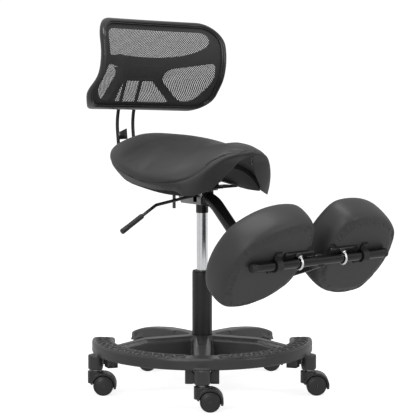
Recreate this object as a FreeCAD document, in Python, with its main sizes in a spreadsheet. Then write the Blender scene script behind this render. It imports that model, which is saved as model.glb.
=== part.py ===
import FreeCAD, Part
import math
import os
import re
import Sketcher

# Saddle chair on a five-arm base with a half-ring footrest, two knee pads and a net back.
# Millimetres. The origin is on the floor under the column, +Z is up, the sitter faces -Y
# and the sitter's left hand is on +X. "Forward" below means -Y.

SIZES = {
    # Fits
    "running_fit": 0.05,
    "seat_gap": 0.2,
    "loose_fit": 0.3,
    # Five-arm base and half-ring footrest
    "base_turn": -40,
    "arm_count": 5,
    "caster_circle": 277,
    "hub_radius": 42,
    "hub_bottom": 62,
    "hub_top": 137,
    "arm_root": 30,
    "arm_waist": 150,
    "arm_half_root": 23,
    "arm_half_tip": 19,
    "arm_draft": 4,
    "arm_edge": 9,
    "arm_wall": 4,
    "arm_top_waist": 134,
    "arm_top_tip": 117,
    "arm_low_waist": 84,
    "free_end_reach": 22,
    "free_end_top": 87,
    "ring_outer": 277,
    "ring_inner": 228,
    "ring_bottom": 97,
    "ring_top": 125,
    "ring_edge": 4,
    "ring_span": 182,
    "socket_radius": 19,
    "socket_bottom": 64,
    "lug_inner": 21,
    "lug_width": 20,
    "lug_length": 26,
    "lug_bottom": 61,
    # Casters
    "caster_trail": 19,
    "wheel_radius": 25,
    "wheel_width": 18.5,
    "wheel_dome": 3,
    "hub_web": 6,
    "hood_radius": 32,
    "hood_floor": 17,
    "hood_top": 60,
    "neck_radius": 20,
    "neck_bottom": 30,
    "axle_radius": 4,
    "stem_radius": 5.5,
    "stem_top": 92,
    "stem_foot": 49,
    "stem_flange_radius": 9,
    "wheel_gap": 1.5,
    # Gas lift
    "column_radius": 25,
    "column_foot_radius": 24,
    "column_wall": 2.5,
    "column_floor": 4,
    "column_top": 296,
    "bush_length": 80,
    "bush_lip": 3,
    "tube_radius": 14,
    "tube_wall": 1.4,
    "tube_bottom": 232,
    "tube_top": 482,
    "tube_end": 8,
    "tube_tip_radius": 13,
    "rod_radius": 5,
    "rod_collar_radius": 8,
    "piston_length": 12,
    "bearing_radius": 17,
    "bearing_height": 8,
    "stop_radius": 11,
    "stop_height": 14,
    "clip_radius": 9,
    "clip_height": 2,
    "button_radius": 4,
    "button_height": 5,
    # Seat carrier under the saddle
    "collar_radius": 15.5,
    "collar_bottom": 444.5,
    "tray_half": 21,
    "tray_half_low": 20,
    "tray_front": 19.5,
    "tray_back": 80,
    "tray_slope": 22,
    "tray_bottom": 466,
    "tray_wall": 2.5,
    "plate_bottom": 503,
    "plate_thick": 4,
    "plate_half": 70,
    "plate_front": 20,
    "plate_back": 135,
    "plate_corner": 18,
    "bolt_across": 42,
    "bolt_front": 2,
    "bolt_back": 62,
    "bolt_radius": 4,
    "bolt_head_radius": 7,
    "bolt_head": 5,
    "spacer_radius": 9,
    "boss_radius": 13,
    "boss_bottom": 518,
    # Release lever on the sitter's right
    "lever_forward": -3,
    "lever_inner": 9,
    "lever_inner_height": 493,
    "lever_bend": 145,
    "lever_drop": 20,
    "grip_end": 254,
    "grip_drop": 62,
    "grip_length": 72,
    "lever_radius": 4,
    "lever_bend_radius": 18,
    "grip_radius": 7,
    "lever_slot": 7,
    "lever_pin": 3,
    # Saddle cushion, sizes across half its width
    "saddle_half": 190,
    "saddle_middle": 59,
    "saddle_rear_reach": 200,
    "saddle_front_reach": 249,
    "saddle_nose_pinch": 0.15,
    "saddle_rear_power": 2.12,
    "pan_thick": 12,
    "pan_share": 0.86,
    # Knee arm and knee bar
    "yoke_thick": 5,
    "arm_tube_radius": 16.5,
    "arm_start_height": 481,
    "arm_start_slope": 10,
    "arm_slope": 42,
    "arm_upper_bend": 75,
    "arm_lower_bend": 115,
    "arm_rise": 18,
    "bar_forward": 429,
    "bar_height": 369,
    "bar_radius": 11,
    "bar_wall": 2,
    "bar_half": 205,
    "cap_length": 12,
    # Knee pads, sizes in the plane of the pad
    "pad_tilt": 55.5,
    "pad_middle_out": 142,
    "pad_middle_up": -19,
    "pad_corner_long": 132,
    "pad_corner_short": 114,
    "pad_turn": 35,
    "pad_bulge": 27,
    "pad_thick": 84,
    "board_thick": 6,
    "board_share": 0.84,
    "ubolt_place": 70,
    "ubolt_wire": 3,
    "nut_radius": 6.5,
    "nut_height": 5,
    "strap_place": 138,
    "strap_width": 18,
    "strap_thick": 5,
    "strap_foot": 30,
    "strap_foot_thick": 4,
    "hanger_inner": 26,
    "hanger_outer": 116,
    "hanger_width": 14,
    "hanger_thick": 4,
    # Back rods and their clamp
    "rod_spacing": 51,
    "back_rod_radius": 4.5,
    "back_rod_front": 90,
    "back_rod_heel": 300,
    "back_rod_bow": 317,
    "back_rod_bow_height": 672,
    "back_rod_tip": 268,
    "rod_tip_below": 16,
    "rod_bore_share": 0.7,
    "back_rod_heel_bend": 32,
    "back_rod_bow_bend": 150,
    "clamp_half": 40,
    "clamp_front": 95,
    "clamp_back": 127,
    "clamp_height": 14,
    "clamp_bolt_radius": 4.5,
    "clamp_bolt_bottom": 446,
    "brace_low": 612,
    "brace_high": 640,
    "brace_drop": 10,
    "brace_width": 29,
    "brace_thick": 3,
    # Net back
    "back_half": 200,
    "back_low": 690,
    "back_high": 922,
    "back_corner": 64,
    "back_axis": 337,
    "back_sweep": 60,
    "back_top_depth": 232,
    "back_waist_depth": 186,
    "back_waist_height": 839,
    "back_low_depth": 304,
    "back_roll": 3,
    "back_roll_height": 775,
    "rim_width": 13,
    "rim_front": 8,
    "rim_back": 12,
    "net_thick": 1.6,
    "frame_front": 3,
    "frame_thick": 8,
    "frame_border": 14,
    "band_low": 779,
    "band_high": 829,
    "band_sweep": 18,
    "leg_top_half": 46,
    "leg_low_half": 92,
    "leg_width": 24,
    "lower_window_top": 768,
    "socket_half": 38,
    "socket_low": 744,
    "socket_high": 806,
    "socket_depth": 16,
}

V = FreeCAD.Vector
ROUND = 2 * math.pi
doc = FreeCAD.newDocument("saddle_chair")
sheet = doc.addObject("Spreadsheet::Sheet", "Sizes")
for row, (alias, value) in enumerate(SIZES.items(), start=1):
    sheet.set(f"A{row}", alias)
    sheet.set(f"B{row}", str(value))
    sheet.setAlias(f"B{row}", alias)
doc.recompute()
parts = []


def size(alias):
    return float(sheet.get(alias))


def bind(text):
    """Turn the words of a formula that are sizes into references to the sheet."""
    return re.sub(r"[a-z][a-z_0-9]+", lambda word: sheet_word(word.group()), text)


def sheet_word(word):
    return "Sizes." + word if word in SIZES else word


def keep(thing):
    parts.append(thing)
    return thing


# Sketches and features

def new_body(label):
    body = doc.addObject("PartDesign::Body", label)
    body.Label = label
    return body


def sketch_on(body, name, role, offset="0", turn="0"):
    """A sketch on an origin plane, moved along its normal after a turn about its own upright."""
    sketch = body.newObject("Sketcher::SketchObject", name)
    plane = next(item for item in body.Origin.OriginFeatures if item.Role == role)
    sketch.AttachmentSupport = [(plane, "")]
    sketch.MapMode = "FlatFace"
    sketch.AttachmentOffset = FreeCAD.Placement(V(), FreeCAD.Rotation(V(0, 1, 0), float(turn)))
    sketch.setExpression("AttachmentOffset.Base.x", bind(f"({offset}) * sin({turn})"))
    sketch.setExpression("AttachmentOffset.Base.z", bind(f"({offset}) * cos({turn})"))
    return sketch


def polygon(sketch, points):
    """A closed outline whose corners are all placed by formulas."""
    first = sketch.GeometryCount
    count = len(points)
    steps = [ROUND * i / count for i in range(count)]
    start = [V(3 + math.cos(step), math.sin(step), 0) for step in steps]
    sketch.addGeometry([Part.LineSegment(start[i - 1], start[i]) for i in range(count)], False)
    joins = [
        Sketcher.Constraint("Coincident", first + i, 2, first + (i + 1) % count, 1) for i in range(count)
    ]
    sketch.addConstraint(joins)
    for i, (x, y) in enumerate(points):
        place_point(sketch, first + i, 2, x, y)


def place_point(sketch, geometry, position, x, y):
    for kind, formula in (("DistanceX", x), ("DistanceY", y)):
        index = sketch.addConstraint(Sketcher.Constraint(kind, -1, 1, geometry, position, 1.0))
        sketch.setExpression(f"Constraints[{index}]", bind(formula))


def circle(sketch, x, y, radius):
    index = sketch.addGeometry(Part.Circle(V(5, 5, 0), V(0, 0, 1), 3), False)
    place_point(sketch, index, 3, x, y)
    round_index = sketch.addConstraint(Sketcher.Constraint("Radius", index, 3.0))
    sketch.setExpression(f"Constraints[{round_index}]", bind(radius))


def rectangle(sketch, left, low, right, high):
    polygon(sketch, [(left, low), (right, low), (right, high), (left, high)])


def pad(body, sketch, length, both=False, down=False):
    feature = body.newObject("PartDesign::Pad", sketch.Name + "_pad")
    feature.Profile = sketch
    feature.SideType = "Symmetric" if both else "One side"
    feature.Reversed = down
    feature.setExpression("Length", bind(length))
    return feature


def pocket(body, sketch, both=True, along=False):
    feature = body.newObject("PartDesign::Pocket", sketch.Name + "_pocket")
    feature.Profile = sketch
    feature.Type = "ThroughAll"
    feature.SideType = "Symmetric" if both else "One side"
    feature.Reversed = along
    return feature


def revolve(body, sketch, angle="360", both=False):
    feature = body.newObject("PartDesign::Revolution", sketch.Name + "_turn")
    feature.Profile = sketch
    feature.ReferenceAxis = (sketch, ["V_Axis"])
    feature.Midplane = both
    feature.setExpression("Angle", bind(angle))
    return feature


def loft(body, kind, sections):
    feature = body.newObject(kind, sections[0].Name + "_loft")
    feature.Profile = sections[0]
    feature.Sections = sections[1:]
    feature.Ruled = True
    return feature


def polar(body, feature, angle, count):
    pattern = body.newObject("PartDesign::PolarPattern", feature.Name + "_around")
    pattern.Originals = [feature]
    axis = next(item for item in body.Origin.OriginFeatures if item.Role == "Z_Axis")
    pattern.Axis = (axis, [""])
    pattern.setExpression("Angle", bind(angle))
    pattern.setExpression("Occurrences", bind(count))
    body.Tip = pattern
    return pattern


def mirrored(body, feature, role):
    mirror = body.newObject("PartDesign::Mirrored", feature.Name + "_mirror")
    mirror.Originals = [feature]
    plane = next(item for item in body.Origin.OriginFeatures if item.Role == role)
    mirror.MirrorPlane = (plane, [""])
    body.Tip = mirror
    return mirror


def revolved(label, points):
    """A turned piece: a half profile of (radius, height) corners about the upright axis."""
    body = new_body(label)
    sketch = sketch_on(body, label + "_profile", "XZ_Plane")
    polygon(sketch, points)
    revolve(body, sketch)
    return keep(body)


def cylinder(label, radius, length, x="0", y="0", z="0", axis=V(0, 0, 1)):
    item = doc.addObject("Part::Cylinder", label)
    item.Label = label
    item.setExpression("Radius", bind(radius))
    item.setExpression("Height", bind(length))
    item.Placement = FreeCAD.Placement(V(), FreeCAD.Rotation(V(0, 0, 1), axis))
    for name, formula in (("x", x), ("y", y), ("z", z)):
        item.setExpression("Placement.Base." + name, bind(formula))
    return item


def cut(label, base, tool):
    item = doc.addObject("Part::Cut", label)
    item.Label = label
    item.Base = base
    item.Tool = tool
    return item


def fuse(label, items):
    item = doc.addObject("Part::MultiFuse", label)
    item.Label = label
    item.Shapes = items
    return item


def group(label, items):
    item = doc.addObject("Part::Compound", label)
    item.Label = label
    item.Links = items
    return keep(item)


def solid(label, shape):
    """A piece whose shape is worked out here from the sheet's sizes."""
    item = doc.addObject("Part::Feature", label)
    item.Label = label
    item.Shape = shape
    item.Placement = FreeCAD.Placement()
    return keep(item)


# Base

def five_arm_base():
    body = new_body("five_arm_base")
    hub = sketch_on(body, "hub", "XZ_Plane")
    bore = "column_foot_radius + running_fit"
    polygon(hub, [
        (bore, "hub_bottom"),
        ("hub_radius", "hub_bottom"),
        ("hub_radius", "hub_top - arm_edge"),
        ("hub_radius - arm_edge", "hub_top"),
        ("column_radius + running_fit", "hub_top"),
    ])
    revolve(body, hub)
    arm_ribs(body)
    free_ends(body)
    ring = sketch_on(body, "ring", "YZ_Plane")
    polygon(ring, [
        ("-ring_inner", "ring_bottom"),
        ("-ring_inner", "ring_top - ring_edge"),
        ("-ring_inner - ring_edge", "ring_top"),
        ("-ring_outer + ring_edge", "ring_top"),
        ("-ring_outer", "ring_top - ring_edge"),
        ("-ring_outer", "ring_bottom"),
    ])
    revolve(body, ring, "ring_span", both=True)
    for side in (-1, 1):
        ring_end(body, side)
    caster_sockets(body)
    body.Placement = FreeCAD.Placement(V(), FreeCAD.Rotation(V(0, 0, 1), size("base_turn")))
    return keep(body)


def ring_end(body, side):
    """Rounded lobe that closes one end of the half ring."""
    turn = side * size("ring_span") / 2
    lobe = sketch_on(body, "ring_end", "XZ_Plane", "(ring_outer + ring_inner) / 2", str(turn))
    wide = "(ring_outer - ring_inner) / 2 - seat_gap"
    polygon(lobe, [
        ("0", "ring_bottom"),
        (wide, "ring_bottom"),
        (wide, "ring_top - ring_edge"),
        (f"{wide} - ring_edge", "ring_top"),
        ("0", "ring_top"),
    ])
    revolve(body, lobe)


def arm_section(body, name, distance, half, low, top, turn="0"):
    """A channel-shaped arm's outside across one radius: sloped sides and bevelled top edges."""
    section = sketch_on(body, name, "XZ_Plane", distance, turn)
    polygon(section, [
        (f"-({half}) - arm_draft", low),
        (f"{half} + arm_draft", low),
        (half, f"{top} - arm_edge"),
        (f"{half} - arm_edge", top),
        (f"-({half}) + arm_edge", top),
        (f"-({half})", f"{top} - arm_edge"),
    ])
    return section


def arm_ribs(body):
    waist = "(arm_half_root + arm_half_tip) / 2"
    root_low = "hub_bottom + arm_wall"
    root_top = "hub_top - arm_wall / 4"
    end = "ring_inner - socket_radius"
    sections = [
        arm_section(body, "arm_a", "arm_root", "arm_half_root", root_low, root_top),
        arm_section(body, "arm_b", "arm_waist", waist, "arm_low_waist", "arm_top_waist"),
        arm_section(body, "arm_c", "ring_inner + arm_edge", "arm_half_tip", "ring_bottom", "arm_top_tip"),
    ]
    arms = loft(body, "PartDesign::AdditiveLoft", sections)
    polar(body, arms, "360", "arm_count")
    hollows = [
        hollow_section(body, "hollow_a", "hub_radius + arm_wall", "arm_half_root", "hub_bottom", "hub_top"),
        hollow_section(body, "hollow_b", "arm_waist", waist, "hub_bottom", "arm_top_waist"),
        hollow_section(body, "hollow_c", end, "arm_half_tip", "hub_bottom", "arm_top_tip"),
    ]
    channel = loft(body, "PartDesign::SubtractiveLoft", hollows)
    polar(body, channel, "360", "arm_count")


def hollow_section(body, name, distance, half, low, top):
    section = sketch_on(body, name, "XZ_Plane", distance)
    inside = f"({half}) - arm_wall"
    polygon(section, [
        (f"-({inside})", low),
        (inside, low),
        (inside, f"{top} - 2 * arm_wall - arm_edge"),
        (f"-({inside})", f"{top} - 2 * arm_wall - arm_edge"),
    ])
    return section


def free_ends(body):
    """The two rear arms run on past the ring's radius and drop to a blunt end over the caster."""
    turn = "144"
    start = "ring_inner + arm_edge"
    end = "caster_circle + free_end_reach"
    end_low = "ring_bottom - 3 * arm_wall"
    shoulder = "free_end_top + 3 * arm_wall"
    sections = [
        arm_section(body, "end_a", start, "arm_half_tip", "ring_bottom", "arm_top_tip", turn),
        arm_section(body, "end_b", "caster_circle", "arm_half_tip", end_low, shoulder, turn),
        arm_section(body, "end_c", end, "arm_half_tip - arm_draft", end_low, "free_end_top", turn),
    ]
    ends = loft(body, "PartDesign::AdditiveLoft", sections)
    polar(body, ends, "72", "2")


def caster_sockets(body):
    sockets = sketch_on(body, "sockets", "XY_Plane", "socket_bottom")
    circle(sockets, "0", "-caster_circle", "socket_radius")
    boss = pad(body, sockets, "ring_bottom - socket_bottom + arm_wall")
    polar(body, boss, "360", "arm_count")
    lugs = sketch_on(body, "lugs", "XY_Plane", "lug_bottom")
    lugs.AttachmentOffset = FreeCAD.Placement(V(), FreeCAD.Rotation(V(0, 0, 1), -72))
    front = "-ring_outer + lug_width"
    rectangle(lugs, "lug_inner", front, "lug_inner + lug_width", f"{front} + lug_length")
    rectangle(lugs, "-lug_inner - lug_width", front, "-lug_inner", f"{front} + lug_length")
    ears = pad(body, lugs, "ring_bottom - lug_bottom + arm_wall")
    polar(body, ears, "144", "3")
    bores = sketch_on(body, "bores", "XY_Plane", "socket_bottom")
    circle(bores, "0", "-caster_circle", "stem_radius + running_fit")
    hole = body.newObject("PartDesign::Pocket", "stem_bore")
    hole.Profile = bores
    hole.Reversed = True
    hole.setExpression("Length", bind("stem_top - socket_bottom + seat_gap"))
    polar(body, hole, "360", "arm_count")


# Casters

def caster_place(index):
    angle = math.radians(270 + size("base_turn") + index * 360 / size("arm_count"))
    reach = size("caster_circle")
    spot = V(reach * math.cos(angle), reach * math.sin(angle), 0)
    return FreeCAD.Placement(spot, FreeCAD.Rotation(V(0, 0, 1), size("base_turn")))


def caster_hood(label, place):
    """Shroud round the upper half of two wheels, with the neck that the stem stands in."""
    body = new_body(label)
    shroud = sketch_on(body, label + "_shroud", "XZ_Plane")
    circle(shroud, "caster_trail", "wheel_radius", "hood_radius")
    pad(body, shroud, "2 * wheel_width + hub_web", both=True)
    neck = sketch_on(body, label + "_neck", "XY_Plane", "neck_bottom")
    circle(neck, "0", "0", "neck_radius")
    pad(body, neck, "hood_top - neck_bottom")
    wells = sketch_on(body, label + "_wells", "XZ_Plane", "hub_web / 2")
    circle(wells, "caster_trail", "wheel_radius", "wheel_radius + wheel_gap")
    well = pocket(body, wells, both=False, along=True)
    mirrored(body, well, "XZ_Plane")
    skirt = sketch_on(body, label + "_skirt", "XZ_Plane")
    reach = "hood_radius + neck_radius"
    polygon(skirt, [
        (f"-({reach})", "-hood_radius"),
        (f"caster_trail + {reach}", "-hood_radius"),
        (f"caster_trail + {reach}", "hood_floor"),
        ("caster_trail - 2 * axle_radius", "hood_floor"),
        ("caster_trail - hood_radius", "neck_bottom"),
        (f"-({reach})", "neck_bottom"),
    ])
    pocket(body, skirt)
    holes = sketch_on(body, label + "_stem_hole", "XY_Plane", "stem_foot")
    circle(holes, "0", "0", "stem_radius + running_fit")
    pocket(body, holes, both=False, along=True)
    axle_hole = sketch_on(body, label + "_axle_hole", "XZ_Plane")
    circle(axle_hole, "caster_trail", "wheel_radius", "axle_radius + running_fit")
    pocket(body, axle_hole)
    body.Placement = place
    return keep(body)


def caster_wheel(label, place, side):
    """Moulded wheel with a domed cap; it turns on the axle in a blind bore."""
    body = revolved(label, [
        ("axle_radius + loose_fit", "hub_web / 2 + seat_gap"),
        ("wheel_radius - wheel_gap", "hub_web / 2 + seat_gap"),
        ("wheel_radius", "hub_web / 2 + wheel_dome"),
        ("wheel_radius", "hub_web / 2 + wheel_width - wheel_dome"),
        ("wheel_radius - wheel_gap", "hub_web / 2 + wheel_width"),
        ("wheel_radius * 0.6", "hub_web / 2 + wheel_width + wheel_dome * 0.75"),
        ("0", "hub_web / 2 + wheel_width + wheel_dome"),
        ("0", "hub_web / 2 + wheel_width - wheel_dome"),
        ("axle_radius + loose_fit", "hub_web / 2 + wheel_width - wheel_dome"),
    ])
    outward = FreeCAD.Rotation(V(0, 0, 1), V(0, side, 0))
    centre = V(size("caster_trail"), 0, size("wheel_radius"))
    body.Placement = place.multiply(FreeCAD.Placement(centre, outward))


def caster_pins(label, place):
    """Steel stem with its flange, and the axle across the wheels."""
    stem = doc.addObject("PartDesign::Body", label + "_stem")
    sketch = sketch_on(stem, label + "_stem_profile", "XZ_Plane")
    polygon(sketch, [
        ("0", "stem_foot + seat_gap"),
        ("stem_radius", "stem_foot + seat_gap"),
        ("stem_radius", "hood_top + seat_gap"),
        ("stem_flange_radius", "hood_top + seat_gap"),
        ("stem_flange_radius", "socket_bottom - seat_gap"),
        ("stem_radius", "socket_bottom - seat_gap"),
        ("stem_radius", "stem_top"),
        ("0", "stem_top"),
    ])
    revolve(stem, sketch)
    half = "hub_web / 2 + wheel_width - wheel_dome - seat_gap"
    axle = cylinder(
        label + "_axle", "axle_radius", f"2 * ({half})", "caster_trail", half, "wheel_radius", V(0, -1, 0)
    )
    pins = group(label, [stem, axle])
    pins.Placement = place


def casters():
    for index in range(int(size("arm_count"))):
        name = f"caster_{index + 1}"
        place = caster_place(index)
        caster_hood(name + "_hood", place)
        caster_pins(name + "_pins", place)
        caster_wheel(name + "_wheel_a", place, 1)
        caster_wheel(name + "_wheel_b", place, -1)


# Gas lift

def gas_lift():
    floor = "hub_bottom + column_floor"
    revolved("column_tube", [
        ("rod_radius + running_fit", "hub_bottom"),
        ("column_foot_radius", "hub_bottom"),
        ("column_radius", "hub_top"),
        ("column_radius", "column_top"),
        ("column_radius - column_wall", "column_top"),
        ("column_radius - column_wall", floor),
        ("rod_radius + running_fit", floor),
    ])
    revolved("guide_bush", [
        ("tube_radius + running_fit", "column_top - bush_length"),
        ("column_radius - column_wall - running_fit", "column_top - bush_length"),
        ("column_radius - column_wall - running_fit", "column_top + seat_gap"),
        ("column_radius - 1", "column_top + seat_gap"),
        ("column_radius - 2", "column_top + bush_lip"),
        ("tube_radius + running_fit", "column_top + bush_lip"),
    ])
    revolved("thrust_bearing", [
        ("rod_radius + running_fit", f"{floor} + seat_gap"),
        ("bearing_radius", f"{floor} + seat_gap"),
        ("bearing_radius", f"{floor} + bearing_height"),
        ("rod_radius + running_fit", f"{floor} + bearing_height"),
    ])
    collar = f"{floor} + bearing_height + seat_gap"
    revolved("piston_rod", [
        ("0", "hub_bottom - 3 * clip_height"),
        ("rod_radius", "hub_bottom - 3 * clip_height"),
        ("rod_radius", collar),
        ("rod_collar_radius", collar),
        ("rod_collar_radius", f"{collar} + column_floor"),
        ("rod_radius", f"{collar} + column_floor"),
        ("rod_radius", "tube_bottom + tube_end + seat_gap"),
        ("0", "tube_bottom + tube_end + seat_gap"),
    ])
    buffer = f"{collar} + column_floor + seat_gap"
    revolved("bump_stop", [
        ("rod_radius + running_fit", buffer),
        ("stop_radius", buffer),
        ("stop_radius", f"{buffer} + stop_height"),
        ("rod_radius + running_fit", f"{buffer} + stop_height"),
    ])
    clip = "hub_bottom - seat_gap"
    revolved("retaining_clip", [
        ("rod_radius + running_fit", f"{clip} - clip_height"),
        ("clip_radius", f"{clip} - clip_height"),
        ("clip_radius", clip),
        ("rod_radius + running_fit", clip),
    ])
    bore = "tube_radius - tube_wall"
    piston = "tube_bottom + tube_end + 2 * seat_gap"
    revolved("piston", [
        ("0", piston),
        (f"{bore} - running_fit", piston),
        (f"{bore} - running_fit", f"{piston} + piston_length"),
        ("0", f"{piston} + piston_length"),
    ])
    revolved("pressure_tube", [
        ("rod_radius + running_fit", "tube_bottom"),
        ("tube_radius", "tube_bottom"),
        ("tube_radius", "collar_bottom"),
        ("tube_tip_radius", "tube_top"),
        ("button_radius + running_fit", "tube_top"),
        ("button_radius + running_fit", "tube_top - tube_end"),
        ("button_radius + running_fit", "collar_bottom - tube_end"),
        (bore, "collar_bottom - 2 * tube_end"),
        (bore, "tube_bottom + tube_end"),
        ("rod_radius + running_fit", "tube_bottom + tube_end"),
    ])
    revolved("release_button", [
        ("0", "tube_top - tube_end"),
        ("button_radius", "tube_top - tube_end"),
        ("button_radius", "tube_top + button_height"),
        ("0", "tube_top + button_height"),
    ])


# Seat carrier

def taper_socket():
    """Collar that the tapered end of the chrome tube sits in."""
    revolved("taper_socket", [
        ("tube_radius + running_fit", "collar_bottom"),
        ("collar_radius", "collar_bottom"),
        ("collar_radius", "tube_top - seat_gap"),
        ("tube_tip_radius + running_fit", "tube_top - seat_gap"),
    ])


def lever_housing():
    """Pressed tray under the plate: sloped sides, a slanted rear end and the hole for the collar."""
    body = new_body("lever_housing")
    top = "plate_bottom - seat_gap"
    side = sketch_on(body, "tray_side", "YZ_Plane")
    polygon(side, [
        ("-tray_front", "tray_bottom"),
        ("tray_back - tray_slope", "tray_bottom"),
        ("tray_back", top),
        ("-tray_front", top),
    ])
    pad(body, side, "2 * tray_half", both=True)
    inside = sketch_on(body, "tray_inside", "YZ_Plane")
    polygon(inside, [
        ("-tray_front + tray_wall", "tray_bottom + tray_wall"),
        ("tray_back - tray_slope - tray_wall", "tray_bottom + tray_wall"),
        ("tray_back - 2 * tray_wall", "plate_bottom"),
        ("-tray_front + tray_wall", "plate_bottom"),
    ])
    hollow = body.newObject("PartDesign::Pocket", "tray_hollow")
    hollow.Profile = inside
    hollow.SideType = "Symmetric"
    hollow.setExpression("Length", bind("2 * (tray_half - tray_wall)"))
    flank = sketch_on(body, "tray_flank", "XZ_Plane")
    outer = "tray_half + tray_wall"
    for sign in ("", "-"):
        polygon(flank, [
            (f"{sign}(tray_half_low)", "tray_bottom - tray_wall"),
            (f"{sign}({outer})", "tray_bottom - tray_wall"),
            (f"{sign}({outer})", "tray_bottom + tray_slope"),
        ])
    pocket(body, flank)
    hole = sketch_on(body, "tray_hole", "XY_Plane", "tray_bottom")
    circle(hole, "0", "0", "collar_radius + running_fit")
    opening = body.newObject("PartDesign::Pocket", "collar_hole")
    opening.Profile = hole
    opening.Reversed = True
    opening.setExpression("Length", bind("tray_wall"))
    slot = sketch_on(body, "tray_slot", "YZ_Plane")
    near = "-lever_forward - lever_slot"
    far = "-lever_forward + lever_slot"
    rectangle(slot, near, "lever_inner_height - 3 * lever_slot", far, "plate_bottom")
    gate = pocket(body, slot, both=False, along=False)
    gate.Label = "lever_slot"
    keep(body)


def seat_plate():
    body = new_body("seat_plate")
    outline = sketch_on(body, "plate_outline", "XY_Plane", "plate_bottom")
    corner = "plate_corner"
    polygon(outline, [
        (f"-plate_half + {corner}", "-plate_front"),
        (f"plate_half - {corner}", "-plate_front"),
        ("plate_half", f"-plate_front + {corner}"),
        ("plate_half", f"plate_back - {corner}"),
        (f"plate_half - {corner}", "plate_back"),
        (f"-plate_half + {corner}", "plate_back"),
        ("-plate_half", f"plate_back - {corner}"),
        ("-plate_half", f"-plate_front + {corner}"),
    ])
    pad(body, outline, "plate_thick")
    holes = sketch_on(body, "plate_holes", "XY_Plane", "plate_bottom")
    for x in ("-bolt_across", "bolt_across"):
        for y in ("-bolt_front", "bolt_back"):
            circle(holes, x, y, "bolt_radius + seat_gap")
    circle(holes, "0", "(clamp_front + clamp_back) / 2", "clamp_bolt_radius + seat_gap")
    pocket(body, holes)
    keep(body)


def seat_bolts():
    """Hex-head bolts through the plate and the spacers that the seat pan stands on."""
    items = []
    low = "plate_bottom + plate_thick + seat_gap"
    tall = f"boss_bottom - ({low}) - seat_gap"
    for number, (x, y) in enumerate(bolt_spots()):
        spacer = cylinder(f"seat_spacer_{number}", "spacer_radius", tall, x, y, low)
        head = doc.addObject("Part::Prism", f"seat_bolt_head_{number}")
        head.Polygon = 6
        head.setExpression("Circumradius", bind("bolt_head_radius"))
        head.setExpression("Height", bind("bolt_head"))
        for name, formula in (("x", x), ("y", y), ("z", "plate_bottom - seat_gap - bolt_head")):
            head.setExpression("Placement.Base." + name, bind(formula))
        items += [spacer, head]
    group("seat_bolts", items)


def bolt_spots():
    return [(x, y) for x in ("-bolt_across", "bolt_across") for y in ("-bolt_front", "bolt_back")]


# Saddle

# Stations along the saddle, from the rear: forward place, then the heights of the spine, the
# seam, the lower edge and the underside's middle, and the lower edge's share of the half width.
SADDLE_STATIONS = [
    (-257, 600, 590, 574, 576, 0.5),
    (-246, 616, 591, 562, 566, 0.55),
    (-222, 628, 590, 548, 556, 0.7),
    (-180, 633, 586, 532, 550, 0.745),
    (-120, 634, 577, 520, 545, 0.775),
    (-59, 632, 560, 512, 542, 0.78),
    (0, 627, 544, 502, 545, 0.79),
    (60, 621, 538, 494, 560, 0.815),
    (98, 624, 542, 490, 575, 0.885),
    (126, 627, 550, 511, 582, 0.71),
    (147, 628, 564, 548, 584, 0.485),
    (165, 625, 583, 582, 590, 0.29),
    (182, 617, 600, 596, 598, 0.3),
]


def saddle_half_width(forward):
    """Pear-shaped plan: a full ellipse behind the widest place, and a pinched one before it."""
    along = forward + size("saddle_middle")
    reach = size("saddle_front_reach") if along > 0 else size("saddle_rear_reach")
    share = along / reach
    pinch = size("saddle_nose_pinch") * share ** 2 if along > 0 else 0
    power = 2 if along > 0 else size("saddle_rear_power")
    round_off = (1 - abs(share) ** power) ** (1 / power)
    return size("saddle_half") * round_off * (1 - pinch)


def arc(start, middle, end):
    return Part.Arc(start, middle, end).toShape()


def saddle_section(station):
    forward, spine, seam, edge, under, share = station
    wide = saddle_half_width(forward)
    low = wide * share
    flank = 0.6 * wide + 0.4 * low + 0.05 * (seam - edge)
    middle = (seam + edge) / 2

    def at(x, z):
        return V(x, -forward, z)

    return Part.Wire([
        arc(at(-wide, seam), at(0, spine), at(wide, seam)),
        arc(at(wide, seam), at(flank, middle), at(low, edge)),
        arc(at(low, edge), at(0, under), at(-low, edge)),
        arc(at(-low, edge), at(-flank, middle), at(-wide, seam)),
    ])


def saddle_cushion():
    sections = [saddle_section(station) for station in SADDLE_STATIONS]
    solid("saddle_cushion", Part.makeLoft(sections, True, False))


def seat_pan():
    """Shell that follows the saddle's underside, with four bosses for the bolts."""
    sections = []
    for forward, _, _, edge, under, share in SADDLE_STATIONS[3:9]:
        low = saddle_half_width(forward) * share * size("pan_share")
        drop = (under - edge) * size("pan_share") ** 2
        high = under - size("seat_gap") - 1
        thick = size("pan_thick")

        def at(x, z):
            return V(x, -forward, z)

        sections.append(Part.Wire([
            arc(at(-low, high - drop), at(0, high), at(low, high - drop)),
            Part.LineSegment(at(low, high - drop), at(low, high - drop - thick)).toShape(),
            arc(at(low, high - drop - thick), at(0, high - thick), at(-low, high - drop - thick)),
            Part.LineSegment(at(-low, high - drop - thick), at(-low, high - drop)).toShape(),
        ]))
    pan = Part.makeLoft(sections, True, False)
    tall = size("pan_thick") + size("boss_radius") / 5
    for x in (-size("bolt_across"), size("bolt_across")):
        for y in (-size("bolt_front"), size("bolt_back")):
            foot = V(x, y, size("boss_bottom"))
            pan = pan.fuse(Part.makeCylinder(size("boss_radius"), tall, foot))
    solid("seat_pan", pan.removeSplitter())


# Bent tubes and rods

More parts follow.
